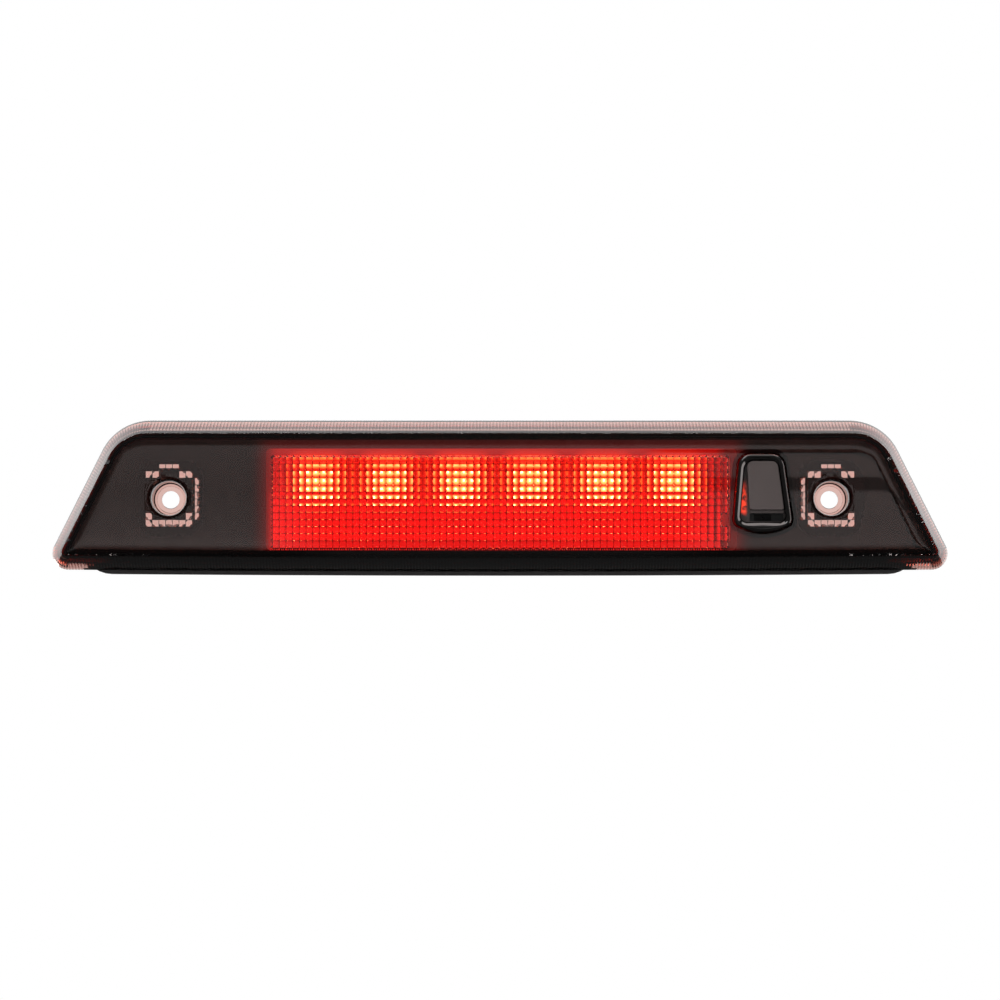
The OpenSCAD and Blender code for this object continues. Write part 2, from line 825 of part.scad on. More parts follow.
outer_lens();
lens_sealant();
rear_housing();
reflector();
led_board();
led(0);  // led_1
led(1);  // led_2
led(2);  // led_3
led(3);  // led_4
led(4);  // led_5
led(5);  // led_6
series_resistors();
blocking_diode();
surge_suppressor();
current_regulator();
board_screws();
terminal_blades();
solder_joints();
connector_header();
header_seal();
body_gasket();
vent_cap();
vent_membrane();
nozzle_bezel();
nozzle_body();
nozzle_insert();
nozzle_grommet();
retaining_clip();
check_poppet();
check_spring();
hose_barb();
barb_o_ring();
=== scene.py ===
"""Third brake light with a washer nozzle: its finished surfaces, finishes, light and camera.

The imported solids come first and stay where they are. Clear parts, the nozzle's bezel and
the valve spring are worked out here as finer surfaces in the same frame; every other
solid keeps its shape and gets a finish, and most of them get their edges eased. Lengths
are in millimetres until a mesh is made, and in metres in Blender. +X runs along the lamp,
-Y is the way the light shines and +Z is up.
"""

from __future__ import annotations

import logging
import math
from dataclasses import dataclass, field
from typing import Callable, Sequence

import bmesh
import bpy
import numpy as np
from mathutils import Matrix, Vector
from mathutils.geometry import delaunay_2d_cdt

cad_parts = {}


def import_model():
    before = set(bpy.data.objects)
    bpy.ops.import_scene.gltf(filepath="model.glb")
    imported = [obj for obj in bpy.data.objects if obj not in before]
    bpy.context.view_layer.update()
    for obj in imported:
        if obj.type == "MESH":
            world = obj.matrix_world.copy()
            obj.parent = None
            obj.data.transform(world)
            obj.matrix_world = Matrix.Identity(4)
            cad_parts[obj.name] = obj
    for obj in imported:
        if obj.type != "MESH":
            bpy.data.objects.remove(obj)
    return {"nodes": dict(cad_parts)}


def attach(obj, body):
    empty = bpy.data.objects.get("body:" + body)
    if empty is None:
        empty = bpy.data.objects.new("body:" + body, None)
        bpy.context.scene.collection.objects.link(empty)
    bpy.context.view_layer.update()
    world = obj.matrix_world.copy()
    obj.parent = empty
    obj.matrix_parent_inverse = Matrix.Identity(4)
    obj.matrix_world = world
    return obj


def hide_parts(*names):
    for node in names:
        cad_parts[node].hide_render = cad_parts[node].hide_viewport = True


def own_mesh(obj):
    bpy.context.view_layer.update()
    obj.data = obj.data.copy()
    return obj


MM = 0.001
LOG = logging.getLogger("brake_light")
Colour = tuple[float, float, float]
Gaps = tuple[float, float, float]


# ---------------------------------------------------------------- outlines


def unit(vectors: np.ndarray) -> np.ndarray:
    """Vectors scaled to length one."""
    return vectors / np.linalg.norm(vectors, axis=-1, keepdims=True)


def moved_in(corners: np.ndarray, gaps: Sequence[float]) -> np.ndarray:
    """Moves each edge of an anticlockwise outline inwards by its own gap.

    Each new corner is where the two moved edges that meet there cross.

    Args:
        corners: Corners as rows of x and z.
        gaps: One gap for each edge; edge i leaves corner i.

    Returns:
        The moved corners, in the same order.
    """
    along = np.roll(corners, -1, axis=0) - corners
    ahead = unit(along)
    inward = np.stack([-ahead[:, 1], ahead[:, 0]], axis=1)
    start = corners + inward * np.asarray(gaps)[:, None]
    before_start, before = np.roll(start, 1, axis=0), np.roll(ahead, 1, axis=0)
    gap = start - before_start
    cross = before[:, 0] * ahead[:, 1] - before[:, 1] * ahead[:, 0]
    reach = (gap[:, 0] * ahead[:, 1] - gap[:, 1] * ahead[:, 0]) / cross
    return before_start + before * reach[:, None]


def rounded(
    corners: np.ndarray,
    radii: Sequence[float],
    arc_steps: Sequence[int],
    side_steps: Sequence[int],
) -> np.ndarray:
    """Rounds an anticlockwise outline with circular arcs.

    Each arc's centre lies on the line that halves its corner, at the radius over the
    sine of half the corner's angle. Straight stretches are divided evenly.

    Args:
        corners: Corners as rows of x and z.
        radii: One radius for each corner.
        arc_steps: Pieces in each corner's arc.
        side_steps: Pieces in the straight stretch that leaves each corner.

    Returns:
        The closed loop of points, without a repeat of the first one.
    """
    arcs = []
    for i, corner in enumerate(corners):
        back = unit(corners[i - 1] - corner)
        on = unit(corners[(i + 1) % len(corners)] - corner)
        half = math.acos(float(np.clip(back @ on, -1, 1))) / 2
        centre = corner + unit(back + on) * radii[i] / math.sin(half)
        first = corner + back * radii[i] / math.tan(half) - centre
        angle = math.atan2(first[1], first[0])
        turn = np.linspace(0, math.pi - 2 * half, arc_steps[i] + 1) + angle
        arcs.append(centre + radii[i] * np.stack([np.cos(turn), np.sin(turn)], axis=1))
    loop = []
    for i, arc in enumerate(arcs):
        following = arcs[(i + 1) % len(arcs)][0]
        share = np.linspace(0, 1, side_steps[i] + 1)[1:-1, None]
        loop += [arc, arc[-1] + (following - arc[-1]) * share]
    return np.concatenate(loop)


def circle(x: float, z: float, r: float, steps: int = 72) -> np.ndarray:
    """An anticlockwise circle as a loop of points."""
    turn = np.arange(steps) * math.tau / steps
    return np.stack([x + r * np.cos(turn), z + r * np.sin(turn)], axis=1)


def edge_distance(points: np.ndarray, loop: np.ndarray) -> np.ndarray:
    """Distance of each point from the nearest side of a closed loop."""
    a, b = loop, np.roll(loop, -1, axis=0)
    side = b - a
    offset = points[:, None] - a[None]
    share = np.clip((offset * side).sum(-1) / (side * side).sum(-1), 0, 1)
    return np.linalg.norm(offset - share[..., None] * side, axis=-1).min(axis=1)


def inside(points: np.ndarray, loop: np.ndarray) -> np.ndarray:
    """Says which points lie in a closed loop, by counting the sides that a ray crosses."""
    a, b = loop, np.roll(loop, -1, axis=0)
    x, z = points[:, None, 0], points[:, None, 1]
    spans = (a[:, 1] > z) != (b[:, 1] > z)
    rise = np.where(b[:, 1] == a[:, 1], 1e-12, b[:, 1] - a[:, 1])
    cross = a[:, 0] + (z - a[:, 1]) * (b[:, 0] - a[:, 0]) / rise
    return (spans & (x < cross)).sum(axis=1) % 2 == 1


@dataclass
class LensRim:
    """The outline of the lens rim and the depths that go with it, in millimetres."""

    width: float
    top: float
    foot: float
    front: float
    slope: float = 0.5
    upper_r: float = 20.0
    lower_r: float = 6.0
    bow: float = 0.8
    bow_reach: float = 0.75
    back: float = -3.0
    front_inset: Gaps = (4.6, 5.7, 4.9)
    leg_inset: Gaps = (5.0, 5.8, 4.7)
    crown: float = 0.7
    roll_width: float = 5.5
    roll_drop: float = 0.7
    edge: np.ndarray = field(init=False)

    def __post_init__(self) -> None:
        """Keeps the front face's own edge, which the rolled border is measured from."""
        self.edge = self.loop(self.front_inset, 3.0)

    def corners(self) -> tuple[np.ndarray, float]:
        """Corners before rounding, and the radius of the bow along the foot.

        Returns:
            The five corners from the lower left on, and the bow's radius.
        """
        lean = math.hypot(1, self.slope)
        low = self.width / 2 + self.lower_r * (self.slope + lean - 1)
        high = low - self.slope * (self.top - self.foot)
        drop = self.bow / (1 - self.bow_reach / 2)
        corners = [
            [-low, self.foot],
            [0, self.foot - drop],
            [low, self.foot],
            [high, self.top],
            [-high, self.top],
        ]
        return np.array(corners, float), self.bow_reach * low * low / drop

    def loop(self, inset: Gaps, spacing: float) -> np.ndarray:
        """The rim's outline moved in, with the same number of points at every inset.

        Args:
            inset: Gap at the ends, at the top and at the foot.
            spacing: Distance between points, which sets their number.

        Returns:
            Closed loop of x and z.
        """
        corners, bow_r = self.corners()
        ends, top, foot = inset
        gaps = (foot, foot, ends, top, ends)
        low_r, high_r = max(self.lower_r - ends, 1.0), max(self.upper_r - ends, 1.0)
        lean = math.atan(self.slope)
        low_arc = (math.pi / 2 + lean) * self.lower_r
        high_arc = (math.pi / 2 - lean) * self.upper_r
        bow_arc = 2 * self.bow_reach * corners[2][0]
        arcs = [low_arc, bow_arc, low_arc, high_arc, high_arc]
        high = corners[3][0] - self.upper_r
        side = math.hypot(1, self.slope) * (self.top - self.foot) - self.upper_r
        sides = [0.2 * corners[2][0], 0.2 * corners[2][0], side, 2 * high, side]
        steps = [
            [max(4, 4 * round(length / spacing / 4)) for length in lengths]
            for lengths in (arcs, sides)
        ]
        radii = (low_r, bow_r, low_r, high_r, high_r)
        return rounded(moved_in(corners, gaps), radii, steps[0], steps[1])

    def face(self, points: np.ndarray) -> np.ndarray:
        """Depth of the front surface.

        A shallow crown from foot to top, as the square of the height over the middle,
        and a border that rolls back as the square of how far a point is into it.

        Args:
            points: Rows of x and z.

        Returns:
            Depth of each point along Y.
        """
        top, foot = self.top - self.front_inset[1], self.foot + self.front_inset[2]
        height = (points[:, 1] - (top + foot) / 2) / ((top - foot) / 2)
        into = np.clip(1 - edge_distance(points, self.edge) / self.roll_width, 0, 1)
        return self.front + self.crown * height**2 + self.roll_drop * into**2


# ---------------------------------------------------------------- meshes


class Shell:
    """The sheets and walls of one closed piece, gathered in millimetres."""

    def __init__(self) -> None:
        """Starts with nothing in it."""
        self.points: list[np.ndarray] = []
        self.faces: list[list[int]] = []
        self.slots: list[np.ndarray] = []
        self.ribs: list[np.ndarray] = []
        self.count = 0

    def add(
        self,
        points: np.ndarray,
        faces: np.ndarray,
        slots: np.ndarray | int = 0,
        ribs: np.ndarray | float = 0.0,
    ) -> None:
        """Adds points and the faces between them.

        Args:
            points: Rows of x, y and z.
            faces: Rows of point numbers, counted from zero.
            slots: Material slot of each face.
            ribs: How far each point lies up a rib, from 0 to 1.
        """
        self.points.append(points)
        self.faces += (faces + self.count).tolist()
        self.slots.append(np.broadcast_to(slots, len(faces)))
        self.ribs.append(np.broadcast_to(ribs, len(points)))
        self.count += len(points)

    def walls(
        self,
        rows: Sequence[np.ndarray],
        closed: bool = False,
        black: Sequence[int] = (),
        ribs: np.ndarray | float = 0.0,
    ) -> None:
        """Joins rows of points, each of them a closed loop, by four-sided faces.

        Args:
            rows: Loops with the same number of points, in order.
            closed: Whether the last row joins the first.
            black: Numbers of the bands between rows that take the second material.
            ribs: How far each point lies up a rib, row after row.
        """
        count, columns = len(rows), len(rows[0])
        r = np.arange(count if closed else count - 1)[:, None]
        c = np.arange(columns)[None]
        r2, c2 = (r + 1) % count, (c + 1) % columns
        corners = [r * columns + c, r * columns + c2, r2 * columns + c2, r2 * columns + c]
        shape = np.broadcast(*corners).shape
        faces = np.stack([np.broadcast_to(k, shape) for k in corners], axis=-1)
        slots = np.repeat(np.isin(np.arange(shape[0]), black).astype(int), columns)
        self.add(np.concatenate(rows), faces.reshape(-1, 4), slots, ribs)

    def lid(self, loop: np.ndarray) -> None:
        """Closes a loop of points with one many-sided face."""
        self.add(loop, np.arange(len(loop))[None])

    def sheet(
        self,
        loops: Sequence[np.ndarray],
        lattice: np.ndarray,
        surface: Callable[[np.ndarray], np.ndarray],
        black: Callable[[np.ndarray], np.ndarray] | None = None,
    ) -> None:
        """Fills the space between an outer loop and holes, over a lattice of points.

        The flat points are joined by a Delaunay triangulation that keeps every loop, and
        the surface then gives the lattice its depth.

        Args:
            loops: Rows of x, y and z; the first is the outer one.
            lattice: Rows of x and z.
            surface: Depth at rows of x and z.
            black: Says where faces take the second material, at rows of x and z.
        """
        flat = [loop[:, [0, 2]] for loop in loops]
        keep = inside(lattice, flat[0])
        for hole in flat[1:]:
            keep &= ~inside(lattice, hole)
        lattice = lattice[keep]
        for loop in flat:
            lattice = lattice[edge_distance(lattice, loop) > 0.12]
        edges, start = [], 0
        for loop in flat:
            index = np.arange(len(loop)) + start
            edges += list(zip(index.tolist(), np.roll(index, -1).tolist()))
            start += len(loop)
        given = np.concatenate([*loops, np.insert(lattice, 1, surface(lattice), axis=1)])
        vectors = [Vector(p) for p in given[:, [0, 2]].tolist()]
        made = delaunay_2d_cdt(vectors, edges, [], 0, 1e-9)
        origin = np.array([ids[0] if ids else -1 for ids in made[3]])
        spare = np.array([tuple(v) for v in made[0]])
        points = given[origin]
        lost = origin < 0
        if lost.any():
            points[lost] = np.insert(spare[lost], 1, surface(spare[lost]), axis=1)
        triangles = np.array([tuple(f) for f in made[2]])
        middle = points[triangles].mean(axis=1)[:, [0, 2]]
        kept = inside(middle, flat[0])
        for hole in flat[1:]:
            kept &= ~inside(middle, hole)
        self.add(points, triangles[kept], 0 if black is None else black(middle[kept]).astype(int))

    def piece(self, name: str, smooth_angle: float = 35.0) -> bpy.types.Object:
        """Makes the closed mesh, with its seams merged and its faces outwards.

        Args:
            name: Name of the piece.
            smooth_angle: Edges sharper than this, in degrees, stay crisp.

        Returns:
            The new object, at the origin.
        """
        mesh = bpy.data.meshes.new(name)
        mesh.from_pydata((np.concatenate(self.points) * MM).tolist(), [], self.faces)
        mesh.polygons.foreach_set("material_index", np.concatenate(self.slots).astype(np.int32))
        rib = mesh.attributes.new("rib", "FLOAT", "POINT")
        rib.data.foreach_set("value", np.concatenate(self.ribs).astype(np.float32))
        work = bmesh.new()
        work.from_mesh(mesh)
        bmesh.ops.remove_doubles(work, verts=work.verts, dist=1e-6)
        bmesh.ops.recalc_face_normals(work, faces=work.faces)
        work.to_mesh(mesh)
        work.free()
        mesh.shade_smooth()
        mesh.set_sharp_from_angle(angle=math.radians(smooth_angle))
        piece = bpy.data.objects.new(name, mesh)
        bpy.context.scene.collection.objects.link(piece)
        return piece


def at_depth(loop: np.ndarray, depth: np.ndarray | float) -> np.ndarray:
    """A loop of x and z placed at a depth along Y, as rows of x, y and z."""
    return np.insert(loop, 1, depth, axis=1)


def ease_edges(piece: bpy.types.Object, width: float, angle: float = 35.0) -> None:
    """Rounds the crisp edges of a solid, without touching its own mesh.

    Args:
        piece: A solid made of loose triangles.
        width: Width of the rounding, in millimetres.
        angle: Edges sharper than this, in degrees, are rounded.
    """
    weld = piece.modifiers.new("weld", "WELD")
    weld.merge_threshold = 1e-6
    flat = piece.modifiers.new("flat", "DECIMATE")
    flat.decimate_type = "DISSOLVE"
    flat.angle_limit = math.radians(0.5)
    bevel = piece.modifiers.new("bevel", "BEVEL")
    bevel.width = width * MM
    bevel.segments = 2
    bevel.limit_method = "ANGLE"
    bevel.angle_limit = math.radians(angle)
    bevel.harden_normals = False


# ---------------------------------------------------------------- finishes


class Tree:
    """A node tree, with short ways to add nodes and join them."""

    def __init__(self, tree: bpy.types.NodeTree) -> None:
        """Keeps the tree."""
        self.tree = tree

    def add(self, kind: str, inputs: dict | None = None, **settings: object) -> bpy.types.Node:
        """Adds a node.

        Args:
            kind: The node's type.
            inputs: Values or other nodes' outputs, by input name or number.
            settings: The node's own settings.

        Returns:
            The node.
        """
        node = self.tree.nodes.new(kind)
        for name, value in settings.items():
            setattr(node, name, value)
        for key, value in (inputs or {}).items():
            if isinstance(value, bpy.types.NodeSocket):
                self.tree.links.new(value, node.inputs[key])
            else:
                node.inputs[key].default_value = value
        return node

    def maths(self, operation: str, *values: object) -> bpy.types.NodeSocket:
        """Adds a calculation and gives its result."""
        node = self.add("ShaderNodeMath", dict(enumerate(values)), operation=operation)
        return node.outputs[0]

    def times(self, first: object, second: object) -> bpy.types.NodeSocket:
        """Adds a product."""
        return self.maths("MULTIPLY", first, second)

    def less(self, first: object, second: object) -> bpy.types.NodeSocket:
        """Adds a difference."""
        return self.maths("SUBTRACT", first, second)

    def size(self, value: object) -> bpy.types.NodeSocket:
        """Adds an absolute value."""
        return self.maths("ABSOLUTE", value)

    def past(self, value: object, middle: float, half: float) -> bpy.types.NodeSocket:
        """Adds how far a value lies outside a span, or 0 inside it."""
        return self.maths("MAXIMUM", self.less(self.size(self.less(value, middle)), half), 0.0)

    def step(self, value: object, start: float, end: float) -> bpy.types.NodeSocket:
        """Adds a smooth step from 0 at start to 1 at end."""
        inputs = {"Value": value, "From Min": start, "From Max": end}
        node = self.add("ShaderNodeMapRange", inputs, interpolation_type="SMOOTHSTEP")
        return node.outputs["Result"]

    def mix(self, share: object, first: object, second: object) -> bpy.types.NodeSocket:
        """Adds a mix of two colours."""
        inputs = {"Factor": share, 6: first, 7: second}
        return self.add("ShaderNodeMix", inputs, data_type="RGBA").outputs[2]

    def place(self) -> tuple[bpy.types.NodeSocket, ...]:
        """Adds the object's own coordinates and gives the point, then x, y and z."""
        point = self.add("ShaderNodeTexCoord").outputs["Object"]
        parts = self.add("ShaderNodeSeparateXYZ", {0: point}).outputs
        return (point, *parts)


def new_group(name: str, inputs: dict[str, object], outputs: dict[str, str]) -> Tree:
    """Starts a shared shader group.

    Args:
        name: Name of the group.
        inputs: Default value of each input, a number or a colour.
        outputs: Kind of each output, "Float" or "Color".

    Returns:
        The group's tree; its group input node is named "in" and its output node "out".
    """
    group = bpy.data.node_groups.new(name, "ShaderNodeTree")
    for label, value in inputs.items():
        kind = "Float" if isinstance(value, (int, float)) else "Color"
        socket = group.interface.new_socket(label, in_out="INPUT", socket_type=f"NodeSocket{kind}")
        socket.default_value = value
    for label, kind in outputs.items():
        group.interface.new_socket(label, in_out="OUTPUT", socket_type=f"NodeSocket{kind}")
    tree = Tree(group)
    tree.add("NodeGroupInput").name = "in"
    tree.add("NodeGroupOutput").name = "out"
    return tree


def join_out(tree: Tree, values: dict[str, bpy.types.NodeSocket]) -> bpy.types.NodeTree:
    """Joins the results to a group's outputs and gives the group."""
    for label, socket in values.items():
        tree.tree.links.new(socket, tree.tree.nodes["out"].inputs[label])
    return tree.tree


def grain_group() -> bpy.types.NodeTree:
    """Moulded plastic: fine grain, slow drift of shade and gloss.

    The height is the fine noise. The colour is multiplied by one plus the slow noise's
    distance from its middle, with half the fine noise's added, times the drift.
    """
    start = {
        "Colour": (0.5, 0.5, 0.5, 1.0),
        "Drift": 0.2,
        "Gloss": 0.5,
        "Gloss Drift": 0.1,
        "Grain Scale": 3000.0,
        "Slow Scale": 60.0,
        "Stretch": 1.0,
    }
    outputs = {"Color": "Color", "Gloss": "Float", "Height": "Float"}
    tree = new_group("moulded_grain", start, outputs)
    given = tree.tree.nodes["in"].outputs
    point, x, y, z = tree.place()
    drawn = {0: tree.maths("DIVIDE", x, given["Stretch"]), 1: y, 2: z}
    drawn = tree.add("ShaderNodeCombineXYZ", drawn).outputs[0]
    fine = {"Vector": drawn, "Scale": given["Grain Scale"], "Detail": 3.0}
    fine = tree.add("ShaderNodeTexNoise", fine)
    slow = {"Vector": point, "Scale": given["Slow Scale"], "Detail": 4.0}
    slow = tree.add("ShaderNodeTexNoise", slow)
    fine, slow = fine.outputs["Fac"], tree.less(slow.outputs["Fac"], 0.5)
    both = tree.maths("ADD", slow, tree.times(tree.less(fine, 0.5), 0.5))
    shade = tree.maths("MULTIPLY_ADD", both, given["Drift"], 1.0)
    colour = tree.add("ShaderNodeVectorMath", {0: given["Colour"], 1: shade}, operation="MULTIPLY")
    gloss = tree.maths("MULTIPLY_ADD", both, given["Gloss Drift"], given["Gloss"])
    return join_out(tree, {"Color": colour.outputs[0], "Gloss": gloss, "Height": fine})


def pore_group() -> bpy.types.NodeTree:
    """Foam: round pores of two sizes, with painted shade at their bottoms."""
    start = {"Colour": (0.1, 0.1, 0.1, 1.0), "Pore Scale": 1500.0, "Depth": 0.6}
    tree = new_group("foam_pores", start, {"Color": "Color", "Height": "Float"})
    given = tree.tree.nodes["in"].outputs
    point = tree.place()[0]
    large = tree.add("ShaderNodeTexVoronoi", {"Vector": point, "Scale": given["Pore Scale"]})
    small = tree.times(given["Pore Scale"], 2.3)
    small = tree.add("ShaderNodeTexVoronoi", {"Vector": point, "Scale": small})
    height = tree.maths("MINIMUM", large.outputs["Distance"], small.outputs["Distance"])
    # Painted shade: the colour darkens towards the bottom of each pore, by as much as Depth says.
    shade = tree.maths("MULTIPLY_ADD", tree.less(height, 0.4), given["Depth"], 1.0)
    colour = tree.add("ShaderNodeVectorMath", {0: given["Colour"], 1: shade}, operation="MULTIPLY")
    return join_out(tree, {"Color": colour.outputs[0], "Height": height})


class SharedGroups:
    """The shader groups that more than one finish uses, each made once."""

    made: dict[str, bpy.types.NodeTree] = {}

    @classmethod
    def get(cls, maker: Callable[[], bpy.types.NodeTree]) -> bpy.types.NodeTree:
        """Gives a group, and makes it the first time."""
        if maker.__name__ not in cls.made:
            cls.made[maker.__name__] = maker()
        return cls.made[maker.__name__]


def new_material(name: str) -> tuple[bpy.types.Material, Tree, bpy.types.Node]:
    """Starts a material and gives it, its tree and its surface shader."""
    material = bpy.data.materials.new(name)
    material.use_nodes = True
    tree = Tree(material.node_tree)
    return material, tree, material.node_tree.nodes["Principled BSDF"]


@dataclass(frozen=True)
class Moulded:
    """Moulded plastic, rubber or plain metal, with a fine grain of its own."""

    name: str
    colour: Colour
    gloss: float
    drift: float = 0.25
    gloss_drift: float = 0.12
    grain: float = 0.35
    depth: float = 0.004
    stretch: float = 1.0
    metallic: float = 0.0
    specular: float = 0.5

    def make(self) -> bpy.types.Material:
        """Builds the material."""
        material, tree, surface = new_material(self.name)
        inputs = {
            "Colour": (*self.colour, 1.0),
            "Drift": self.drift,
            "Gloss": self.gloss,
            "Gloss Drift": self.gloss_drift,
            "Grain Scale": 1 / (self.grain * MM),
            "Stretch": self.stretch,
        }
        group = tree.add("ShaderNodeGroup", node_tree=SharedGroups.get(grain_group))
        for label, value in inputs.items():
            group.inputs[label].default_value = value
        link = tree.tree.links.new
        relief = {"Distance": self.depth * MM, "Height": group.outputs["Height"]}
        bump = tree.add("ShaderNodeBump", relief)
        link(group.outputs["Color"], surface.inputs["Base Color"])
        link(group.outputs["Gloss"], surface.inputs["Roughness"])
        link(bump.outputs[0], surface.inputs["Normal"])
        surface.inputs["Metallic"].default_value = self.metallic
        surface.inputs["Specular IOR Level"].default_value = self.specular
        self.finish(tree, surface)
        return material

    def finish(self, tree: Tree, surface: bpy.types.Node) -> None:
        """Adds nothing; some finishes add painted light here."""


@dataclass(frozen=True)
class Foam:
    """Closed-cell foam with open pores on its skin."""

    name: str
    colour: Colour
    pore: float = 0.6

    def make(self) -> bpy.types.Material:
        """Builds the material."""
        material, tree, surface = new_material(self.name)
        group = tree.add("ShaderNodeGroup", node_tree=SharedGroups.get(pore_group))
        group.inputs["Colour"].default_value = (*self.colour, 1.0)
        group.inputs["Pore Scale"].default_value = 1 / (self.pore * MM)
        height = group.outputs["Height"]
        bump = tree.add("ShaderNodeBump", {"Distance": 0.1 * MM, "Height": height})
        tree.tree.links.new(group.outputs["Color"], surface.inputs["Base Color"])
        tree.tree.links.new(bump.outputs[0], surface.inputs["Normal"])
        surface.inputs["Roughness"].default_value = 0.9
        return material


@dataclass(frozen=True)
class LampRow:
    """Where the lights stand and how large the tray is, in millimetres."""

    first_x: float = -67.3
    pitch: float = 26.32
    z: float = 5.4
    count: int = 6
    left: float = -83.5
    right: float = 84.5
    foot: float = -16.1
    top: float = 15.9


@dataclass(frozen=True)
class TrayWithPaintedLight(Moulded):
    """Red reflector with a painted pool of light, given as emission: a soft square round each light.

    The distance from the nearest light is the fourth root of the summed fourth powers
    of the two offsets, which gives squares with round corners.
    """

    row: LampRow = LampRow()
    strength: float = 1.0

    def finish(self, tree: Tree, surface: bpy.types.Node) -> None:
        """Adds the painted light, as emission."""
        _, x, _, z = tree.place()
        row = self.row
        across = tree.maths("DIVIDE", tree.less(x, row.first_x * MM), row.pitch * MM)
        nearest = tree.maths("MAXIMUM", tree.maths("ROUND", across), 0.0)
        nearest = tree.maths("MINIMUM", nearest, row.count - 1.0)
        across = tree.times(tree.less(across, nearest), row.pitch)
        up = tree.times(tree.less(z, row.z * MM), 1 / MM)
        fourth = [tree.maths("POWER", tree.size(offset), 4.0) for offset in (across, up)]
        fourth = tree.maths("ADD", *fourth)
        away = tree.maths("DIVIDE", tree.maths("POWER", fourth, 0.25), 24.0)
        # Painted light: bright near each light, fading to dark red further off.
        ramp = tree.add("ShaderNodeValToRGB", {0: away})
        stops = [
            (0.0, (1.0, 0.42, 0.16)),
            (0.12, (1.0, 0.33, 0.10)),
            (0.27, (0.45, 0.07, 0.012)),
            (0.38, (0.16, 0.006, 0.002)),
            (0.55, (0.07, 0.0, 0.0)),
            (1.0, (0.055, 0.0, 0.0)),
        ]
        for place, colour in stops[2:]:
            ramp.color_ramp.elements.new(place)
        for element, (place, colour) in zip(ramp.color_ramp.elements, stops):
            element.position = place
            element.color = (*colour, 1.0)
        # Painted light: a dim red below the row of lights, and dark past the end lights.
        low = tree.step(up, -1.0, -6.0)
        painted_tray_light = tree.mix(low, ramp.outputs[0], (0.15, 0.0015, 0.0015, 1.0))
        end = tree.step(tree.size(across), 14.0, 19.0)
        painted_tray_light = tree.mix(end, painted_tray_light, (0.012, 0.0, 0.0, 1.0))
        tree.tree.links.new(painted_tray_light, surface.inputs["Emission Color"])
        surface.inputs["Emission Strength"].default_value = self.strength


@dataclass(frozen=True)
class PlasticWithPaintedSpill(Moulded):
    """Black plastic with painted red light round the lit tray, given as emission.

    The painted light falls from the tray's edge with the distance, as a smooth step. It is only
    on what faces the lens, in front of the depth called back.
    """

    row: LampRow = LampRow()
    reach: float = 11.5
    back: float = -8.2
    painted_haze: Colour = (0.5, 0.004, 0.005)

    def finish(self, tree: Tree, surface: bpy.types.Node) -> None:
        """Adds the painted red light."""
        _, x, depth, z = tree.place()
        row = self.row
        mid_x, half_x = (row.left + row.right) / 2 * MM, (row.right - row.left) / 2 * MM
        mid_z, half_z = (row.foot + row.top) / 2 * MM, (row.top - row.foot) / 2 * MM
        out_x, out_z = tree.past(x, mid_x, half_x), tree.past(z, mid_z, half_z)
        away = tree.maths("ADD", tree.times(out_x, out_x), tree.times(out_z, out_z))
        away = tree.maths("SQRT", away)
        # Painted light: strongest at the tray's edge, gone at the reach.
        share = tree.maths("POWER", tree.step(away, self.reach * MM, -6.0 * MM), 2.0)
        facing = tree.step(depth, self.back * MM, (self.back - 0.5) * MM)
        share = tree.times(share, facing)
        colour = tree.mix(share, (0.0, 0.0, 0.0, 1.0), (*self.painted_haze, 1.0))
        tree.tree.links.new(colour, surface.inputs["Emission Color"])
        surface.inputs["Emission Strength"].default_value = 1.0


@dataclass(frozen=True)
class NozzleSatinWithPaintedLight(Moulded):
    """Satin plastic with painted red light at its end by the lamp and painted shade in its mouth."""

    def finish(self, tree: Tree, surface: bpy.types.Node) -> None:
        """Adds the painted light, as emission: smooth steps along X and Z, times a soft noise.

        Painted shade: the plastic's colour is darker down in the mouth.
        """
        point, x, depth, z = tree.place()
        # Painted light: a patchy red glint on the end by the lamp.
        near = tree.step(x, 90.9 * MM, 89.6 * MM)
        tall = tree.times(tree.step(z, -7.0 * MM, -4.5 * MM), tree.step(z, 7.0 * MM, 0.0))
        patch = tree.add("ShaderNodeTexNoise", {"Vector": point, "Scale": 520.0}).outputs["Fac"]
        share = tree.times(tree.times(near, tall), tree.step(patch, 0.3, 0.62))
        colour = tree.mix(share, (0.0, 0.0, 0.0, 1.0), (1.0, 0.045, 0.01, 1.0))
        tree.tree.links.new(colour, surface.inputs["Emission Color"])
        surface.inputs["Emission Strength"].default_value = 1.1
        plain = surface.inputs["Base Color"].links[0].from_socket
        # Painted shade: the colour turns near black down in the mouth.
        mouth = tree.step(depth, -16.95 * MM, -16.6 * MM)
        shade = tree.mix(mouth, plain, (0.004, 0.004, 0.004, 1.0))
        tree.tree.links.new(shade, surface.inputs["Base Color"])


@dataclass(frozen=True)
class LightEmitter(Moulded):
    """The epoxy of a lit light: a bright dome that reddens towards its foot."""

    strength: float = 120.0

    def finish(self, tree: Tree, surface: bpy.types.Node) -> None:
        """Adds the light."""
        depth = tree.place()[2]
        share = tree.step(depth, 5.6 * MM, 4.2 * MM)
        colour = tree.mix(share, (0.8, 0.06, 0.02, 1.0), (1.0, 0.30, 0.12, 1.0))
        tree.tree.links.new(colour, surface.inputs["Emission Color"])
        surface.inputs["Emission Strength"].default_value = self.strength


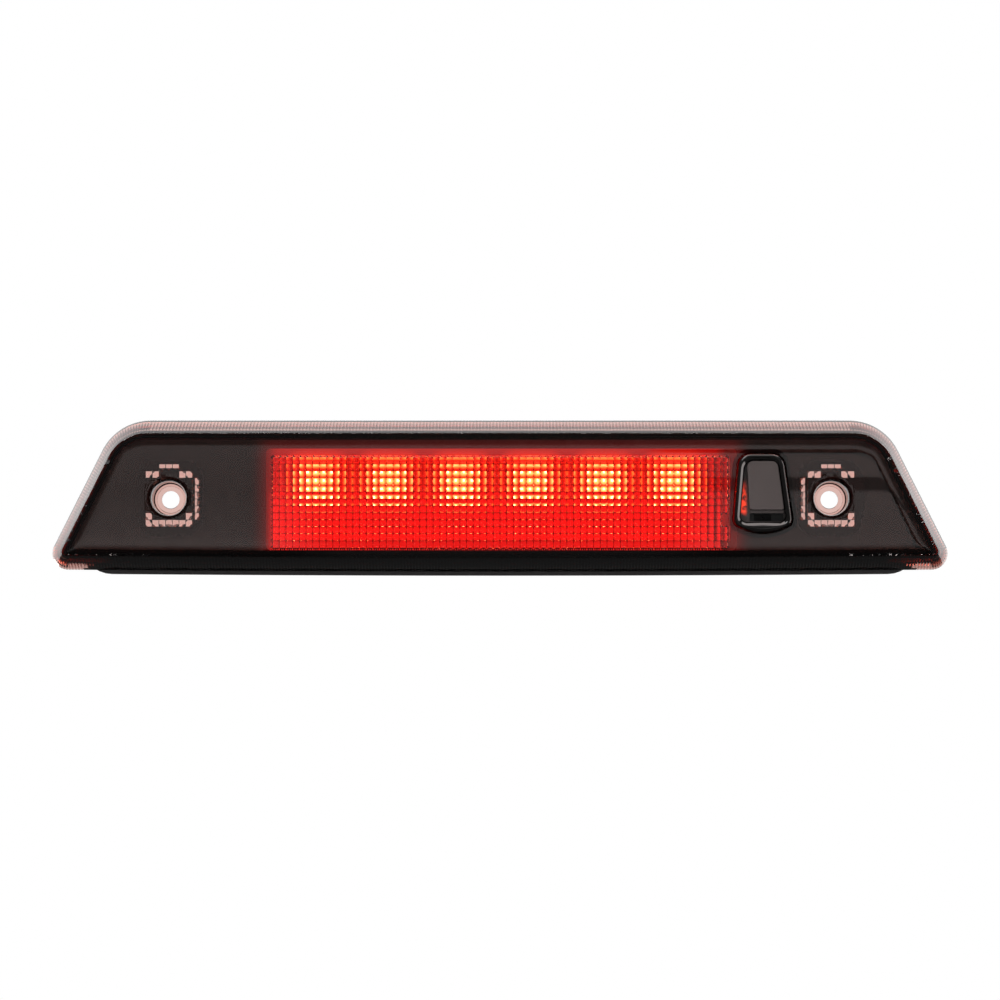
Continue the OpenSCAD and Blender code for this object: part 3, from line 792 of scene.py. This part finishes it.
@dataclass(frozen=True)
class ClearPlastic:
    """Clear plastic that is tinted by what it soaks up along the light's way."""

    name: str
    colour: Colour
    ior: float = 1.49
    soak: float = 350.0
    kept: Colour = (0.63, 0.128, 0.0)
    rib_shade: Colour = (0.55, 0.43, 0.41)

    def make(self) -> bpy.types.Material:
        """Builds the material; its tint drifts a little along the moulding, and has painted shade
        along the ribs.
        """
        material, tree, surface = new_material(self.name)
        group = tree.add("ShaderNodeGroup", node_tree=SharedGroups.get(grain_group))
        group.inputs["Colour"].default_value = (*self.colour, 1.0)
        group.inputs["Drift"].default_value = 0.05
        group.inputs["Slow Scale"].default_value = 25.0
        # Painted shade: the tint darkens in stripes along the ribs, for their light and dark lines.
        rib = tree.add("ShaderNodeAttribute", attribute_name="rib").outputs["Fac"]
        shade = tree.mix(rib, group.outputs["Color"], (*self.rib_shade, 1.0))
        tree.tree.links.new(shade, surface.inputs["Base Color"])
        surface.inputs["Roughness"].default_value = 0.0
        surface.inputs["IOR"].default_value = self.ior
        surface.inputs["Transmission Weight"].default_value = 1.0
        soak = {"Color": (*self.kept, 1.0), "Density": self.soak}
        soak = tree.add("ShaderNodeVolumeAbsorption", soak)
        tree.tree.links.new(soak.outputs[0], tree.tree.nodes["Material Output"].inputs["Volume"])
        return material


# ---------------------------------------------------------------- sub-assemblies


def report(piece: bpy.types.Object) -> bpy.types.Object:
    """Logs a piece's size and gives it back."""
    LOG.info("%s: %d faces, %s mm", piece.name, len(piece.data.polygons),
             [round(side / MM, 1) for side in piece.dimensions])
    return piece


@dataclass
class Frame:
    """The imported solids."""

    nodes: dict[str, bpy.types.Object]

    def dress(self, finish: Moulded | Foam, *names: str, ease: float = 0.0) -> None:
        """Gives solids a finish, and rounds their edges where asked.

        Args:
            finish: The finish.
            names: Names of the solids.
            ease: Width of the rounding in millimetres, or 0 for none.
        """
        material = finish.make()
        for name in names:
            node = self.nodes[name]
            if not node.material_slots:
                node.data.materials.append(material)
            for slot in node.material_slots:
                slot.material = material
            if ease:
                ease_edges(node, ease)
            LOG.info("%s: %s", name, finish.name)


# The bezel's foot corners and top corners, as x and z
BEZEL = ((85.1, -9.6), (107.4, -9.6), (103.85, 16.3), (87.25, 16.3))


def bezel_outline(gap: float, steps: int = 14) -> np.ndarray:
    """Outline of the nozzle's bezel, moved in by a gap.

    A four-sided shape with round corners, whose foot is one wide arc.
    """
    x, foot, drop = 96.25, BEZEL[0][1], 5.984
    half = BEZEL[1][0] - x
    corners = np.array([BEZEL[0], (x, foot - drop), *BEZEL[1:]])
    chin = 0.79 * math.hypot(half, drop) * half / drop
    radii = [r - gap for r in (3, chin, 3, 5, 5)]
    arcs = [steps, 3 * steps, steps, steps, steps]
    return rounded(moved_in(corners, [gap] * 5), radii, arcs, [2, 2, 12, 6, 12])


def window_outline() -> np.ndarray:
    """Outline of the opening in the bezel."""
    corners = moved_in(np.array(BEZEL), [0.6, 2.4, 2.6, 2.7])
    return rounded(corners, [2.2, 2.2, 3.6, 3.6], [24] * 4, [60] * 4)


@dataclass
class Lens:
    """The clear lens: face, pillows, fluted sides, screw wells and nozzle collar."""

    rim: LensRim
    wall: float = 2.4
    rib_pitch: float = 1.15
    rib_depth: float = 0.16
    well_x: float = 121.5
    bore_r: float = 6.5
    well_r: float = 7.9
    hole_r: float = 3.25
    ring_r: float = 4.95
    cell_x: float = 2.45
    cell_z: float = 2.55
    dome: float = 0.9
    row: LampRow = LampRow()
    pillow_gap: float = 3.2
    well_half: tuple[float, float] = (10.9, 12.6)
    well_corner: float = 6.5
    groove: float = 0.9
    groove_depth: float = 0.5
    leg_out: float = 1.1
    leg_in: float = 1.5
    leg_end: float = -5.6
    cell_steps: int = 4
    collar: float = 1.6
    collar_end: float = -10.4

    def skirt_rows(self) -> tuple[list[np.ndarray], list[np.ndarray]]:
        """Rows of the slanted side, from the face's edge out, round the rim and in again.

        The wall runs straight from the face's edge to the rim. Its inner side is fluted:
        it moves in and out along its own normal as the cosine of the distance along it.

        Returns:
            The rows, and how far each of their points lies up a rib.
        """
        rim, steps, ribs = self.rim, [], []
        front = np.array(rim.front_inset)
        outer = [(1.0, 0.0), (0.975, 0.03), (0.955, 0.12), (0.94, 0.3)]
        outer += [(1 - t, rim.front + 0.5 + 16 * t) for t in (0.12, 0.98)]
        outer += [(0.0, rim.back - 0.35), (0.05, rim.back)]
        lip = rim.face(rim.loop(rim.front_inset, self.rib_pitch / 4))
        for share, depth in outer:
            loop = rim.loop(tuple(front * share), self.rib_pitch / 4)
            steps.append(at_depth(loop, lip + depth if share > 0.9 else depth))
            ribs.append((0.5 - 0.5 * np.cos(np.arange(len(loop)) * math.tau / 4)) * (share < 0.9))
        leg = np.array(rim.leg_inset)
        foot, top = leg + self.leg_out, leg + self.leg_in
        slant = ((0, 2.4), (0.12, 2.3), (0.46, 1.9), (0.6, 1.8), (0.72, 1.75))
        inner = [(wall + front * t, rim.back - 14.5 * t, min(1.0, 8 * t)) for t, wall in slant]
        inner += [(foot - 0.4, rim.back - 11.6, 0.5), (foot, rim.back - 10.8, 0)]
        inner += [(foot, self.leg_end, 0), (top, self.leg_end, 0)]
        inner += [(top, rim.back - 12.2, 0), (self.wall + front, None, 0)]
        for inset, depth, share in inner:
            loop = rim.loop(tuple(inset), self.rib_pitch / 4)
            ahead = unit(np.roll(loop, -1, axis=0) - np.roll(loop, 1, axis=0))
            wave = np.cos(np.arange(len(loop)) * math.tau / 4) * self.rib_depth / 2 * share
            loop = loop + np.stack([-ahead[:, 1], ahead[:, 0]], axis=1) * wave[:, None]
            steps.append(at_depth(loop, self.back(loop) if depth is None else depth))
            ribs.append(np.zeros(len(loop)))
        return steps, ribs

    def back(self, points: np.ndarray) -> np.ndarray:
        """Depth of the back of the face, without its pillows."""
        return self.rim.face(points) + self.wall

    def well_rows(self, x: float) -> list[np.ndarray]:
        """Rows of a screw well: down its bore, across its floor, through and up outside."""
        section = [
            (self.bore_r + 1.2, None), (self.bore_r + 0.95, 0.08), (self.bore_r + 0.7, 0.45),
            (self.bore_r, 2.4), (self.bore_r - 0.3, 5.0), (self.bore_r - 0.45, 16.5),
            (self.bore_r - 0.75, 17.0),
            (self.ring_r + 0.12, 17.0), (self.ring_r, 17.12), (self.ring_r - 0.05, 17.6),
            (self.hole_r + 0.15, 17.6), (self.hole_r, 17.75), (self.hole_r, 20.0),
            (self.bore_r - 0.4, 20.0), (self.well_r - 0.2, 20.0), (self.well_r, 19.8),
            (self.well_r, 10.0),
        ]
        rows = []
        for r, drop in section:
            loop = circle(x, 0, r)
            level = self.rim.face(loop) if drop is None else self.rim.front + drop
            if drop in (0.08, 0.45):
                level = self.rim.face(loop) + drop
            rows.append(at_depth(loop, level))
        last = circle(x, 0, self.well_r)
        return rows + [at_depth(last, self.back(last))]

    def collar_rows(self) -> list[np.ndarray]:
        """Rows of the collar round the nozzle: down inside and up outside."""
        lead, inner, outer = bezel_outline(-0.3), bezel_outline(0), bezel_outline(-self.collar)
        return [
            at_depth(lead, self.rim.face(lead)),
            at_depth(inner, self.rim.face(inner) + 0.35),
            at_depth(inner, self.collar_end),
            at_depth(outer, self.collar_end),
            at_depth(outer, self.back(outer)),
        ]

    def by_well(self, points: np.ndarray, reach: np.ndarray) -> np.ndarray:
        """Says which points, with a reach to each side, lie in a round-cornered window.

        Args:
            points: Rows of x and z.
            reach: Half the width and height that have to fit.

        Returns:
            Whether each point is in the window about either well.
        """
        away = np.stack([np.abs(points[:, 0]) - self.well_x + 0.6, points[:, 1] + 0.2], axis=1)
        past = np.clip(np.abs(away) + reach - np.array(self.well_half) + self.well_corner, 0, None)
        return np.hypot(*past.T) < self.well_corner

    def pillows(self) -> tuple[np.ndarray, Callable, Callable]:
        """Points of the pillows, and the surface that they lie on.

        A pillow's height is its dome, less the dome times half the sum of the squares of
        the two offsets from the middle, each as a share of half the cell. A narrow groove
        runs round each pillow. Outside whole cells over the tray and the wells the back
        is plain.

        Returns:
            Rows of x and z, the depth of the back at such rows, and where it takes black painted
            shade.
        """
        size = np.array([self.cell_x, self.cell_z])
        low, high = self.rim.edge.min(axis=0), self.rim.edge.max(axis=0)
        origin = np.array([0.0, -0.4])
        first = np.ceil((low - origin) / size).astype(int)
        count = np.floor((high - origin) / size).astype(int) - first
        i, j = np.meshgrid(np.arange(count[0]), np.arange(count[1]), indexing="ij")
        cell = np.stack([i.ravel(), j.ravel()], axis=1)
        start = origin + (first + cell) * size
        whole = np.ones(len(cell), bool)
        for corner in ((0, 0), (1, 0), (0, 1), (1, 1)):
            spot = start + np.array(corner) * size
            whole &= inside(spot, self.rim.edge)
            whole &= edge_distance(spot, self.rim.edge) > self.pillow_gap
            whole &= ~inside(spot, bezel_outline(-self.collar - 0.4))
            for side in (-1, 1):
                whole &= np.hypot(spot[:, 0] - side * self.well_x, spot[:, 1]) > self.well_r + 0.1
        middle = start + size / 2
        row, reach = self.row, size / 2
        over = (middle[:, 0] > row.left) & (middle[:, 0] < row.right)
        over &= (middle[:, 1] > row.foot - 1.2) & (middle[:, 1] < row.top - 0.4)
        over |= self.by_well(middle, reach)
        whole &= over
        table = whole.reshape(count)
        grid = (1 + self.groove * np.linspace(-1, 1, self.cell_steps + 1)) / 2
        grid = np.concatenate([[0.0], grid, [1.0]])
        u, v = np.meshgrid(grid, grid, indexing="ij")
        inner = np.stack([u.ravel(), v.ravel()], axis=1)
        full = (start[whole][:, None] + inner * size).reshape(-1, 2)
        full = np.unique(np.round(full, 6), axis=0)
        near = np.zeros_like(table)
        near[1:] |= table[:-1]
        near[:-1] |= table[1:]
        near[:, 1:] |= table[:, :-1]
        near[:, :-1] |= table[:, 1:]
        bare = ~whole
        ends = np.array([[0.04, 0.04], [0.35, 0.04], [0.65, 0.04], [0.96, 0.04], [0.96, 0.35],
                         [0.96, 0.65], [0.96, 0.96], [0.65, 0.96], [0.35, 0.96], [0.04, 0.96],
                         [0.04, 0.65], [0.04, 0.35]])
        close = bare & near.ravel()
        skirt = (start[close][:, None] + ends * size).reshape(-1, 2)
        rest = start[bare & ~near.ravel()] + size / 2
        lattice = np.concatenate([full, skirt, rest])

        def surface(points: np.ndarray) -> np.ndarray:
            """Depth of the back, pillows included."""
            place = (points - origin) / size - first
            home = np.clip(np.floor(place + 1e-7).astype(int), 0, count - 1)
            height = np.zeros(len(points))
            for shift in ((0, 0), (-1, 0), (0, -1), (-1, -1)):
                spot = np.clip(home + np.array(shift), 0, count - 1)
                offset = (place - spot) * 2 - 1
                held = (np.abs(offset) <= 1 + 1e-5).all(axis=1) & table[spot[:, 0], spot[:, 1]]
                rise = self.dome * (1 - (offset**2).sum(axis=1) / 2)
                ditch = np.abs(offset).max(axis=1) > (1 + self.groove) / 2
                rise = np.where(ditch, -self.groove_depth, rise)
                height = np.where(held, rise, height)
            return self.back(points) + height

        def black(points: np.ndarray) -> np.ndarray:
            """Says where the back round the wells takes black painted shade: between its pillows."""
            spot = np.floor((points - origin) / size - first).astype(int)
            spot = np.clip(spot, 0, count - 1)
            return self.by_well(points, -0.8 * reach) & ~table[spot[:, 0], spot[:, 1]]

        return lattice, surface, black

    def build(self) -> bpy.types.Object:
        """Builds the lens as one closed piece."""
        shell = Shell()
        skirt, ribs = self.skirt_rows()
        wells = [self.well_rows(-self.well_x), self.well_rows(self.well_x)]
        # Painted shade: the bands round the leg take the black second material.
        leg = range(len(skirt) - 7, len(skirt) - 1)
        shell.walls(skirt, black=list(leg), ribs=np.concatenate(ribs))
        # Painted shade: the outer floor and outside of each well's tube take the black second
        # material.
        for rows in wells:
            shell.walls(rows, black=list(range(len(rows) - 5, len(rows) - 1)))
        collar = self.collar_rows()
        shell.walls(collar)
        tubes = [skirt, *wells, collar]
        low, high = self.rim.edge.min(axis=0), self.rim.edge.max(axis=0)
        x, z = np.meshgrid(np.arange(low[0], high[0], 2.0), np.arange(low[1], high[1], 1.4))
        lattice = np.stack([x.ravel(), z.ravel()], axis=1)
        shell.sheet([rows[0] for rows in tubes], lattice, self.rim.face)
        points, surface, black = self.pillows()
        shell.sheet([rows[-1] for rows in tubes], points, surface, black)
        piece = shell.piece("clear_lens", 28.0)
        piece.data.materials.append(ClearPlastic("tinted_lens", (0.97, 0.97, 0.97)).make())
        # Black second material: painted shade on the clear plastic of the legs, the wells and round
        # them.
        shade_sheet = Moulded("lens_painted_shade", (0.014, 0.012, 0.012), 0.16, specular=0.5)
        piece.data.materials.append(shade_sheet.make())
        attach(piece, "lamp")
        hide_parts("outer_lens")
        return piece


@dataclass
class LampUnit:
    """The reflector tray, the board and what is on it."""

    row: LampRow

    def dress(self, frame: Frame) -> None:
        """Gives each solid its finish."""
        # Painted light on the reflector round each light, given as emission.
        red = TrayWithPaintedLight("reflector_red", (0.45, 0.02, 0.015), 0.3, row=self.row, strength=8.0)
        frame.dress(red, "reflector")
        lights = [f"led_{i + 1}" for i in range(self.row.count)]
        frame.dress(LightEmitter("led_red", (0.8, 0.2, 0.1), 0.2), *lights)
        # Painted red light on the board round each light, given as emission.
        board = TrayWithPaintedLight("circuit_board", (0.01, 0.11, 0.04), 0.35, drift=0.8, grain=1.4, depth=0.02,
                        row=self.row, strength=6.0)
        frame.dress(board, "led_board")
        black = Moulded("resistor_black", (0.02, 0.02, 0.02), 0.35, grain=0.2)
        frame.dress(black, "series_resistors", ease=0.1)
        chips = ("blocking_diode", "surge_suppressor", "current_regulator")
        epoxy = Moulded("component_black", (0.03, 0.03, 0.032), 0.5, grain=0.15)
        frame.dress(epoxy, *chips, ease=0.1)
        steel = Moulded("zinc_steel", (0.62, 0.61, 0.58), 0.3, grain=0.3, metallic=1.0)
        frame.dress(steel, "board_screws", ease=0.1)
        brass = Moulded("tinned_brass", (0.75, 0.66, 0.42), 0.25, stretch=8.0, metallic=1.0)
        frame.dress(brass, "terminal_blades", ease=0.08)
        tin = Moulded("solder", (0.7, 0.7, 0.72), 0.25, grain=0.5, depth=0.03, metallic=1.0)
        frame.dress(tin, "solder_joints", ease=0.15)


@dataclass
class Housing:
    """The black housing, its foam gasket, and the connector and vent on its back."""

    row: LampRow

    def dress(self, frame: Frame) -> None:
        """Gives each solid its finish."""
        # Painted red light on the housing round the lit tray, given as emission.
        black = PlasticWithPaintedSpill("housing_plastic", (0.012, 0.012, 0.013), 0.28, row=self.row,
                             grain=0.5, specular=0.12)
        frame.dress(black, "rear_housing", ease=0.25)
        bead = Moulded("sealant", (0.02, 0.02, 0.022), 0.35, grain=1.5, depth=0.05)
        frame.dress(bead, "lens_sealant")
        frame.dress(Foam("foam", (0.018, 0.018, 0.019)), "body_gasket", ease=0.4)
        header = Moulded("connector_plastic", (0.02, 0.02, 0.023), 0.45)
        frame.dress(header, "connector_header", ease=0.25)
        rubber = Moulded("seal_rubber", (0.16, 0.16, 0.17), 0.7, grain=0.25)
        frame.dress(rubber, "header_seal", ease=0.4)
        frame.dress(Moulded("cap_plastic", (0.03, 0.03, 0.032), 0.5), "vent_cap", ease=0.3)
        cloth = Moulded("membrane", (0.8, 0.8, 0.78), 0.8, grain=0.1, depth=0.02)
        frame.dress(cloth, "vent_membrane")


@dataclass
class WasherNozzle:
    """The washer nozzle: bezel, spray block, check valve, barb and clip."""

    x: float = 96.25
    z: float = 3.35
    front: float = -21.0
    chamber: float = -6.0
    spring_length: float = 6.0
    lift: float = 1.2

    def build_bezel(self) -> bpy.types.Object:
        """Builds the gloss bezel as a ring.

        Both outlines are cut at the same angles round the nozzle's middle, and each row
        of the ring lies at a share of the way from the outer one to the opening.
        """
        turn = np.arange(360) * math.tau / 360
        outer, inner = (self.cut_at(loop, turn) for loop in (bezel_outline(0.3), window_outline()))
        section = [
            (0.0, 6.0), (0.0, 1.3), (0.03, 0.85), (0.08, 0.5), (0.16, 0.22), (0.26, 0.06),
            (0.36, 0.0), (0.45, 0.03), (0.53, 0.13), (0.64, 0.32), (0.8, 0.61), (0.93, 0.89),
            (1.0, 1.2), (1.0, 6.0),
        ]
        shell = Shell()
        across = inner - outer
        rows = [at_depth(outer + across * share, self.front + drop) for share, drop in section]
        shell.walls(rows, closed=True)
        piece = shell.piece("bezel_shell", 40.0)
        gloss = Moulded("bezel_gloss", (0.003, 0.0028, 0.0028), 0.09, gloss_drift=0.03,
                        grain=0.8, depth=0.0005, specular=0.42)
        piece.data.materials.append(gloss.make())
        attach(piece, "lamp")
        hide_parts("nozzle_bezel")
        return piece

    def cut_at(self, loop: np.ndarray, turn: np.ndarray) -> np.ndarray:
        """Points of a loop at given angles round the nozzle's middle."""
        offset = loop - np.array([self.x, self.z])
        angle = np.arctan2(offset[:, 1], offset[:, 0]) % math.tau
        order = np.argsort(angle)
        angle, reach = angle[order], np.hypot(*offset.T)[order]
        reach = np.interp(turn, angle, reach, period=math.tau)
        return np.stack([self.x + reach * np.cos(turn), self.z + reach * np.sin(turn)], axis=1)

    def build_spring(self) -> bpy.types.Object:
        """Builds the valve spring, with its end turns closed up.

        The height along the coil is its turn times a rise that eases in and out, so the
        first and last turns lie flat.
        """
        wire, coil_r, turns, around, sides = 0.5, 2.3, 5.0, 40, 12
        share = np.linspace(0, 1, int(turns * around) + 1)
        angle = share * turns * math.tau
        flat = 0.75 / turns
        eased = np.clip((share - flat) / (1 - 2 * flat), 0, 1)
        free = self.spring_length - wire - 2 * wire * 0.75 - 0.06
        first = np.minimum(share * turns, 0.75)
        last = np.maximum((share - 1) * turns + 0.75, 0)
        height = wire * first + wire * last + free * eased
        lean = np.arange(sides) * math.tau / sides
        r = coil_r + wire / 2 * np.cos(lean)[None]
        y = self.chamber + 0.03 + wire / 2 + height[:, None] + wire / 2 * np.sin(lean)[None]
        x, z = self.x + r * np.cos(angle)[:, None], self.z + r * np.sin(angle)[:, None]
        rows = np.stack([x, y, z], axis=-1)
        shell = Shell()
        shell.walls(list(rows))
        shell.lid(rows[0])
        shell.lid(rows[-1])
        piece = shell.piece("valve_spring", 60.0)
        steel = Moulded("spring_wire", (0.58, 0.58, 0.6), 0.25, grain=0.08, depth=0.002, metallic=1.0)
        piece.data.materials.append(steel.make())
        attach(piece, "lamp")
        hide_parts("check_spring")
        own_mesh(piece)
        return piece

    def dress(self, frame: Frame) -> None:
        """Gives each solid its finish."""
        # Painted red light by the lamp and painted shade in the mouth.
        satin = NozzleSatinWithPaintedLight("nozzle_satin", (0.05, 0.041, 0.04), 0.42, grain=0.25)
        frame.dress(satin, "nozzle_body", ease=0.3)
        # The insert's near-black is partly its own colour and partly painted shade of the mouth.
        insert = Moulded("insert_plastic", (0.005, 0.005, 0.005), 0.5, specular=0.2)
        frame.dress(insert, "nozzle_insert", ease=0.1)
        rubber = Moulded("grommet_rubber", (0.015, 0.015, 0.015), 0.65, grain=0.3)
        frame.dress(rubber, "nozzle_grommet", "barb_o_ring")
        steel = Moulded("spring_steel", (0.5, 0.5, 0.52), 0.3, grain=0.3, stretch=10.0, metallic=1.0)
        frame.dress(steel, "retaining_clip", ease=0.12)
        frame.dress(Moulded("poppet_plastic", (0.75, 0.75, 0.7), 0.4), "check_poppet", ease=0.15)
        frame.dress(Moulded("barb_plastic", (0.022, 0.022, 0.024), 0.4), "hose_barb", ease=0.12)


# ---------------------------------------------------------------- studio


@dataclass
class Studio:
    """Plain pale floor, soft light and the camera."""

    floor_z: float = -0.3
    floor_r: float = 1.4
    distance: float = 2.145
    view_width: float = 0.366
    tilt: float = -2.6
    target: tuple[float, float, float] = (0.0, -0.020, -0.0009)

    def build_floor(self) -> None:
        """Makes a round pale floor, whose shade drifts a little."""
        turn = np.arange(96) * math.tau / 96
        rows = [
            np.stack([r * np.cos(turn), r * np.sin(turn), np.full(96, z)], axis=1) / MM
            for r, z in ((self.floor_r, self.floor_z), (self.floor_r, self.floor_z - 0.01))
        ]
        shell = Shell()
        shell.walls(rows)
        shell.lid(rows[0])
        shell.lid(rows[1])
        floor = shell.piece("floor")
        pale = Moulded("pale_floor", (0.8, 0.8, 0.79), 0.8, drift=0.03, grain=3.0)
        floor.data.materials.append(pale.make())
        floor.visible_glossy = False
        floor.visible_transmission = False

    def light(self) -> None:
        """Sets the soft surroundings and two large lamps.

        The surroundings are white behind the lamp and wherever the camera sees them. In
        front of it the lens mirrors a pale grey, with darker bands to the right; further
        round it is dim, with a bright box to the right and another overhead.
        """
        world = bpy.data.worlds.new("soft_studio")
        bpy.context.scene.world = world
        world.use_nodes = True
        tree = Tree(world.node_tree)
        way = tree.add("ShaderNodeTexCoord").outputs["Generated"]
        x, y, z = tree.add("ShaderNodeSeparateXYZ", {0: way}).outputs
        lift = tree.times(tree.maths("ARCSINE", z), 180 / math.pi)
        side = tree.maths("ARCTAN2", x, tree.times(y, -1.0))
        side = tree.times(side, 180 / math.pi)
        behind = tree.step(y, -0.05, 0.05)
        under = tree.step(lift, -14.0, -18.0)
        rear = tree.maths("MULTIPLY_ADD", under, -0.95, 1.0)
        right = tree.step(side, 1.3, 1.7)
        share = tree.maths("MULTIPLY_ADD", lift, 1 / 60, 0.5)
        low = ((-20, 0.06), (-12, 0.8), (-6, 0.8))
        plain = self.bands(tree, share, (*low, (-2, 0.68), (3, 0.56), (10, 0.66)))
        striped = (*low, (-2, 0.74), (2.9, 0.74), (3.2, 0.22), (4.7, 0.2), (5, 0.74))
        ahead = tree.mix(right, plain, self.bands(tree, share, striped))
        past = tree.maths("MAXIMUM", tree.less(lift, 8.0), tree.less(side, 4.9))
        line = tree.times(tree.step(past, 0.0, 0.3), tree.step(past, 2.2, 1.4))
        ahead = tree.mix(tree.times(line, right), ahead, (0.03, 0.03, 0.03, 1.0))
        wide = tree.size(side)
        middle = tree.times(tree.step(wide, 2.6, 1.6), tree.step(lift, 8.0, 7.0))
        ahead = tree.mix(middle, ahead, (0.12, 0.12, 0.12, 1.0))
        gloom = tree.times(tree.step(wide, 9.0, 14.0), tree.step(side, 52.0, 46.0))
        gloom = tree.maths("MAXIMUM", gloom, tree.step(lift, 13.0, 18.0))
        gloom = tree.times(gloom, tree.step(lift, 50.0, 46.0))
        ahead = tree.mix(gloom, ahead, (0.12, 0.12, 0.12, 1.0))
        box = tree.times(tree.step(side, 54.0, 58.0), tree.step(side, 86.0, 80.0))
        box = tree.times(box, tree.step(tree.size(lift), 34.0, 28.0))
        over = tree.times(tree.step(lift, 52.0, 56.0), tree.step(lift, 80.0, 74.0))
        box = tree.maths("MAXIMUM", box, over)
        ahead = tree.mix(box, ahead, (6.0, 5.4, 5.3, 1.0))
        level = tree.mix(behind, ahead, rear)
        seen = tree.add("ShaderNodeLightPath").outputs["Is Camera Ray"]
        level = tree.mix(seen, level, (1.0, 1.0, 1.0, 1.0))
        background = world.node_tree.nodes["Background"]
        world.node_tree.links.new(level, background.inputs["Color"])
        for name, place, size, power in (
            ("key_light", (-1.2, -1.6, 1.8), 1.2, 30.0),
            ("fill_light", (1.6, 1.2, 1.6), 1.4, 22.0),
        ):
            data = bpy.data.lights.new(name, "AREA")
            data.shape, data.size, data.energy = "DISK", size, power
            lamp = bpy.data.objects.new(name, data)
            lamp.location = place
            way = Vector(self.target) - Vector(place)
            lamp.rotation_euler = way.to_track_quat("-Z", "Y").to_euler()
            bpy.context.scene.collection.objects.link(lamp)

    def bands(
        self, tree: Tree, share: bpy.types.NodeSocket, stops: Sequence[tuple[float, float]]
    ) -> bpy.types.NodeSocket:
        """Adds a ramp of grey over the height of a direction.

        Args:
            tree: The world's tree.
            share: Height of the direction, 0 at 30 degrees down and 1 at 30 degrees up.
            stops: Height in degrees and grey level.

        Returns:
            The ramp's colour.
        """
        node = tree.add("ShaderNodeValToRGB", {0: share})
        for _ in stops[2:]:
            node.color_ramp.elements.new(1.0)
        for element, (height, value) in zip(node.color_ramp.elements, stops):
            element.position = height / 60 + 0.5
            element.color = (value, value, value, 1.0)
        return node.outputs[0]

    def aim(self) -> None:
        """Sets the camera, and a plain view transform."""
        data = bpy.data.cameras.new("camera")
        data.lens = data.sensor_width * self.distance / self.view_width
        data.clip_start, data.clip_end = 0.01, 20.0
        camera = bpy.data.objects.new("camera", data)
        tilt = math.radians(self.tilt)
        away = Vector((0.0, -math.cos(tilt), math.sin(tilt))) * self.distance
        camera.location = Vector(self.target) + away
        camera.rotation_euler = (-away).to_track_quat("-Z", "Y").to_euler()
        bpy.context.scene.collection.objects.link(camera)
        bpy.context.scene.camera = camera
        bpy.context.scene.view_settings.view_transform = "Standard"


def main() -> None:
    """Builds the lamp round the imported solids, then the studio."""
    logging.basicConfig(level=logging.INFO, format="%(message)s")
    frame = Frame(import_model()["nodes"])
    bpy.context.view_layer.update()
    studio = Studio()
    studio.aim()
    row = LampRow()
    LampUnit(row).dress(frame)
    Housing(row).dress(frame)
    nozzle = WasherNozzle()
    nozzle.dress(frame)
    report(nozzle.build_bezel())
    report(nozzle.build_spring())
    report(Lens(LensRim(width=330.0, top=29.2, foot=-25.8, front=-20.0)).build())
    studio.build_floor()
    studio.light()


if __name__ == "__main__":
    main()
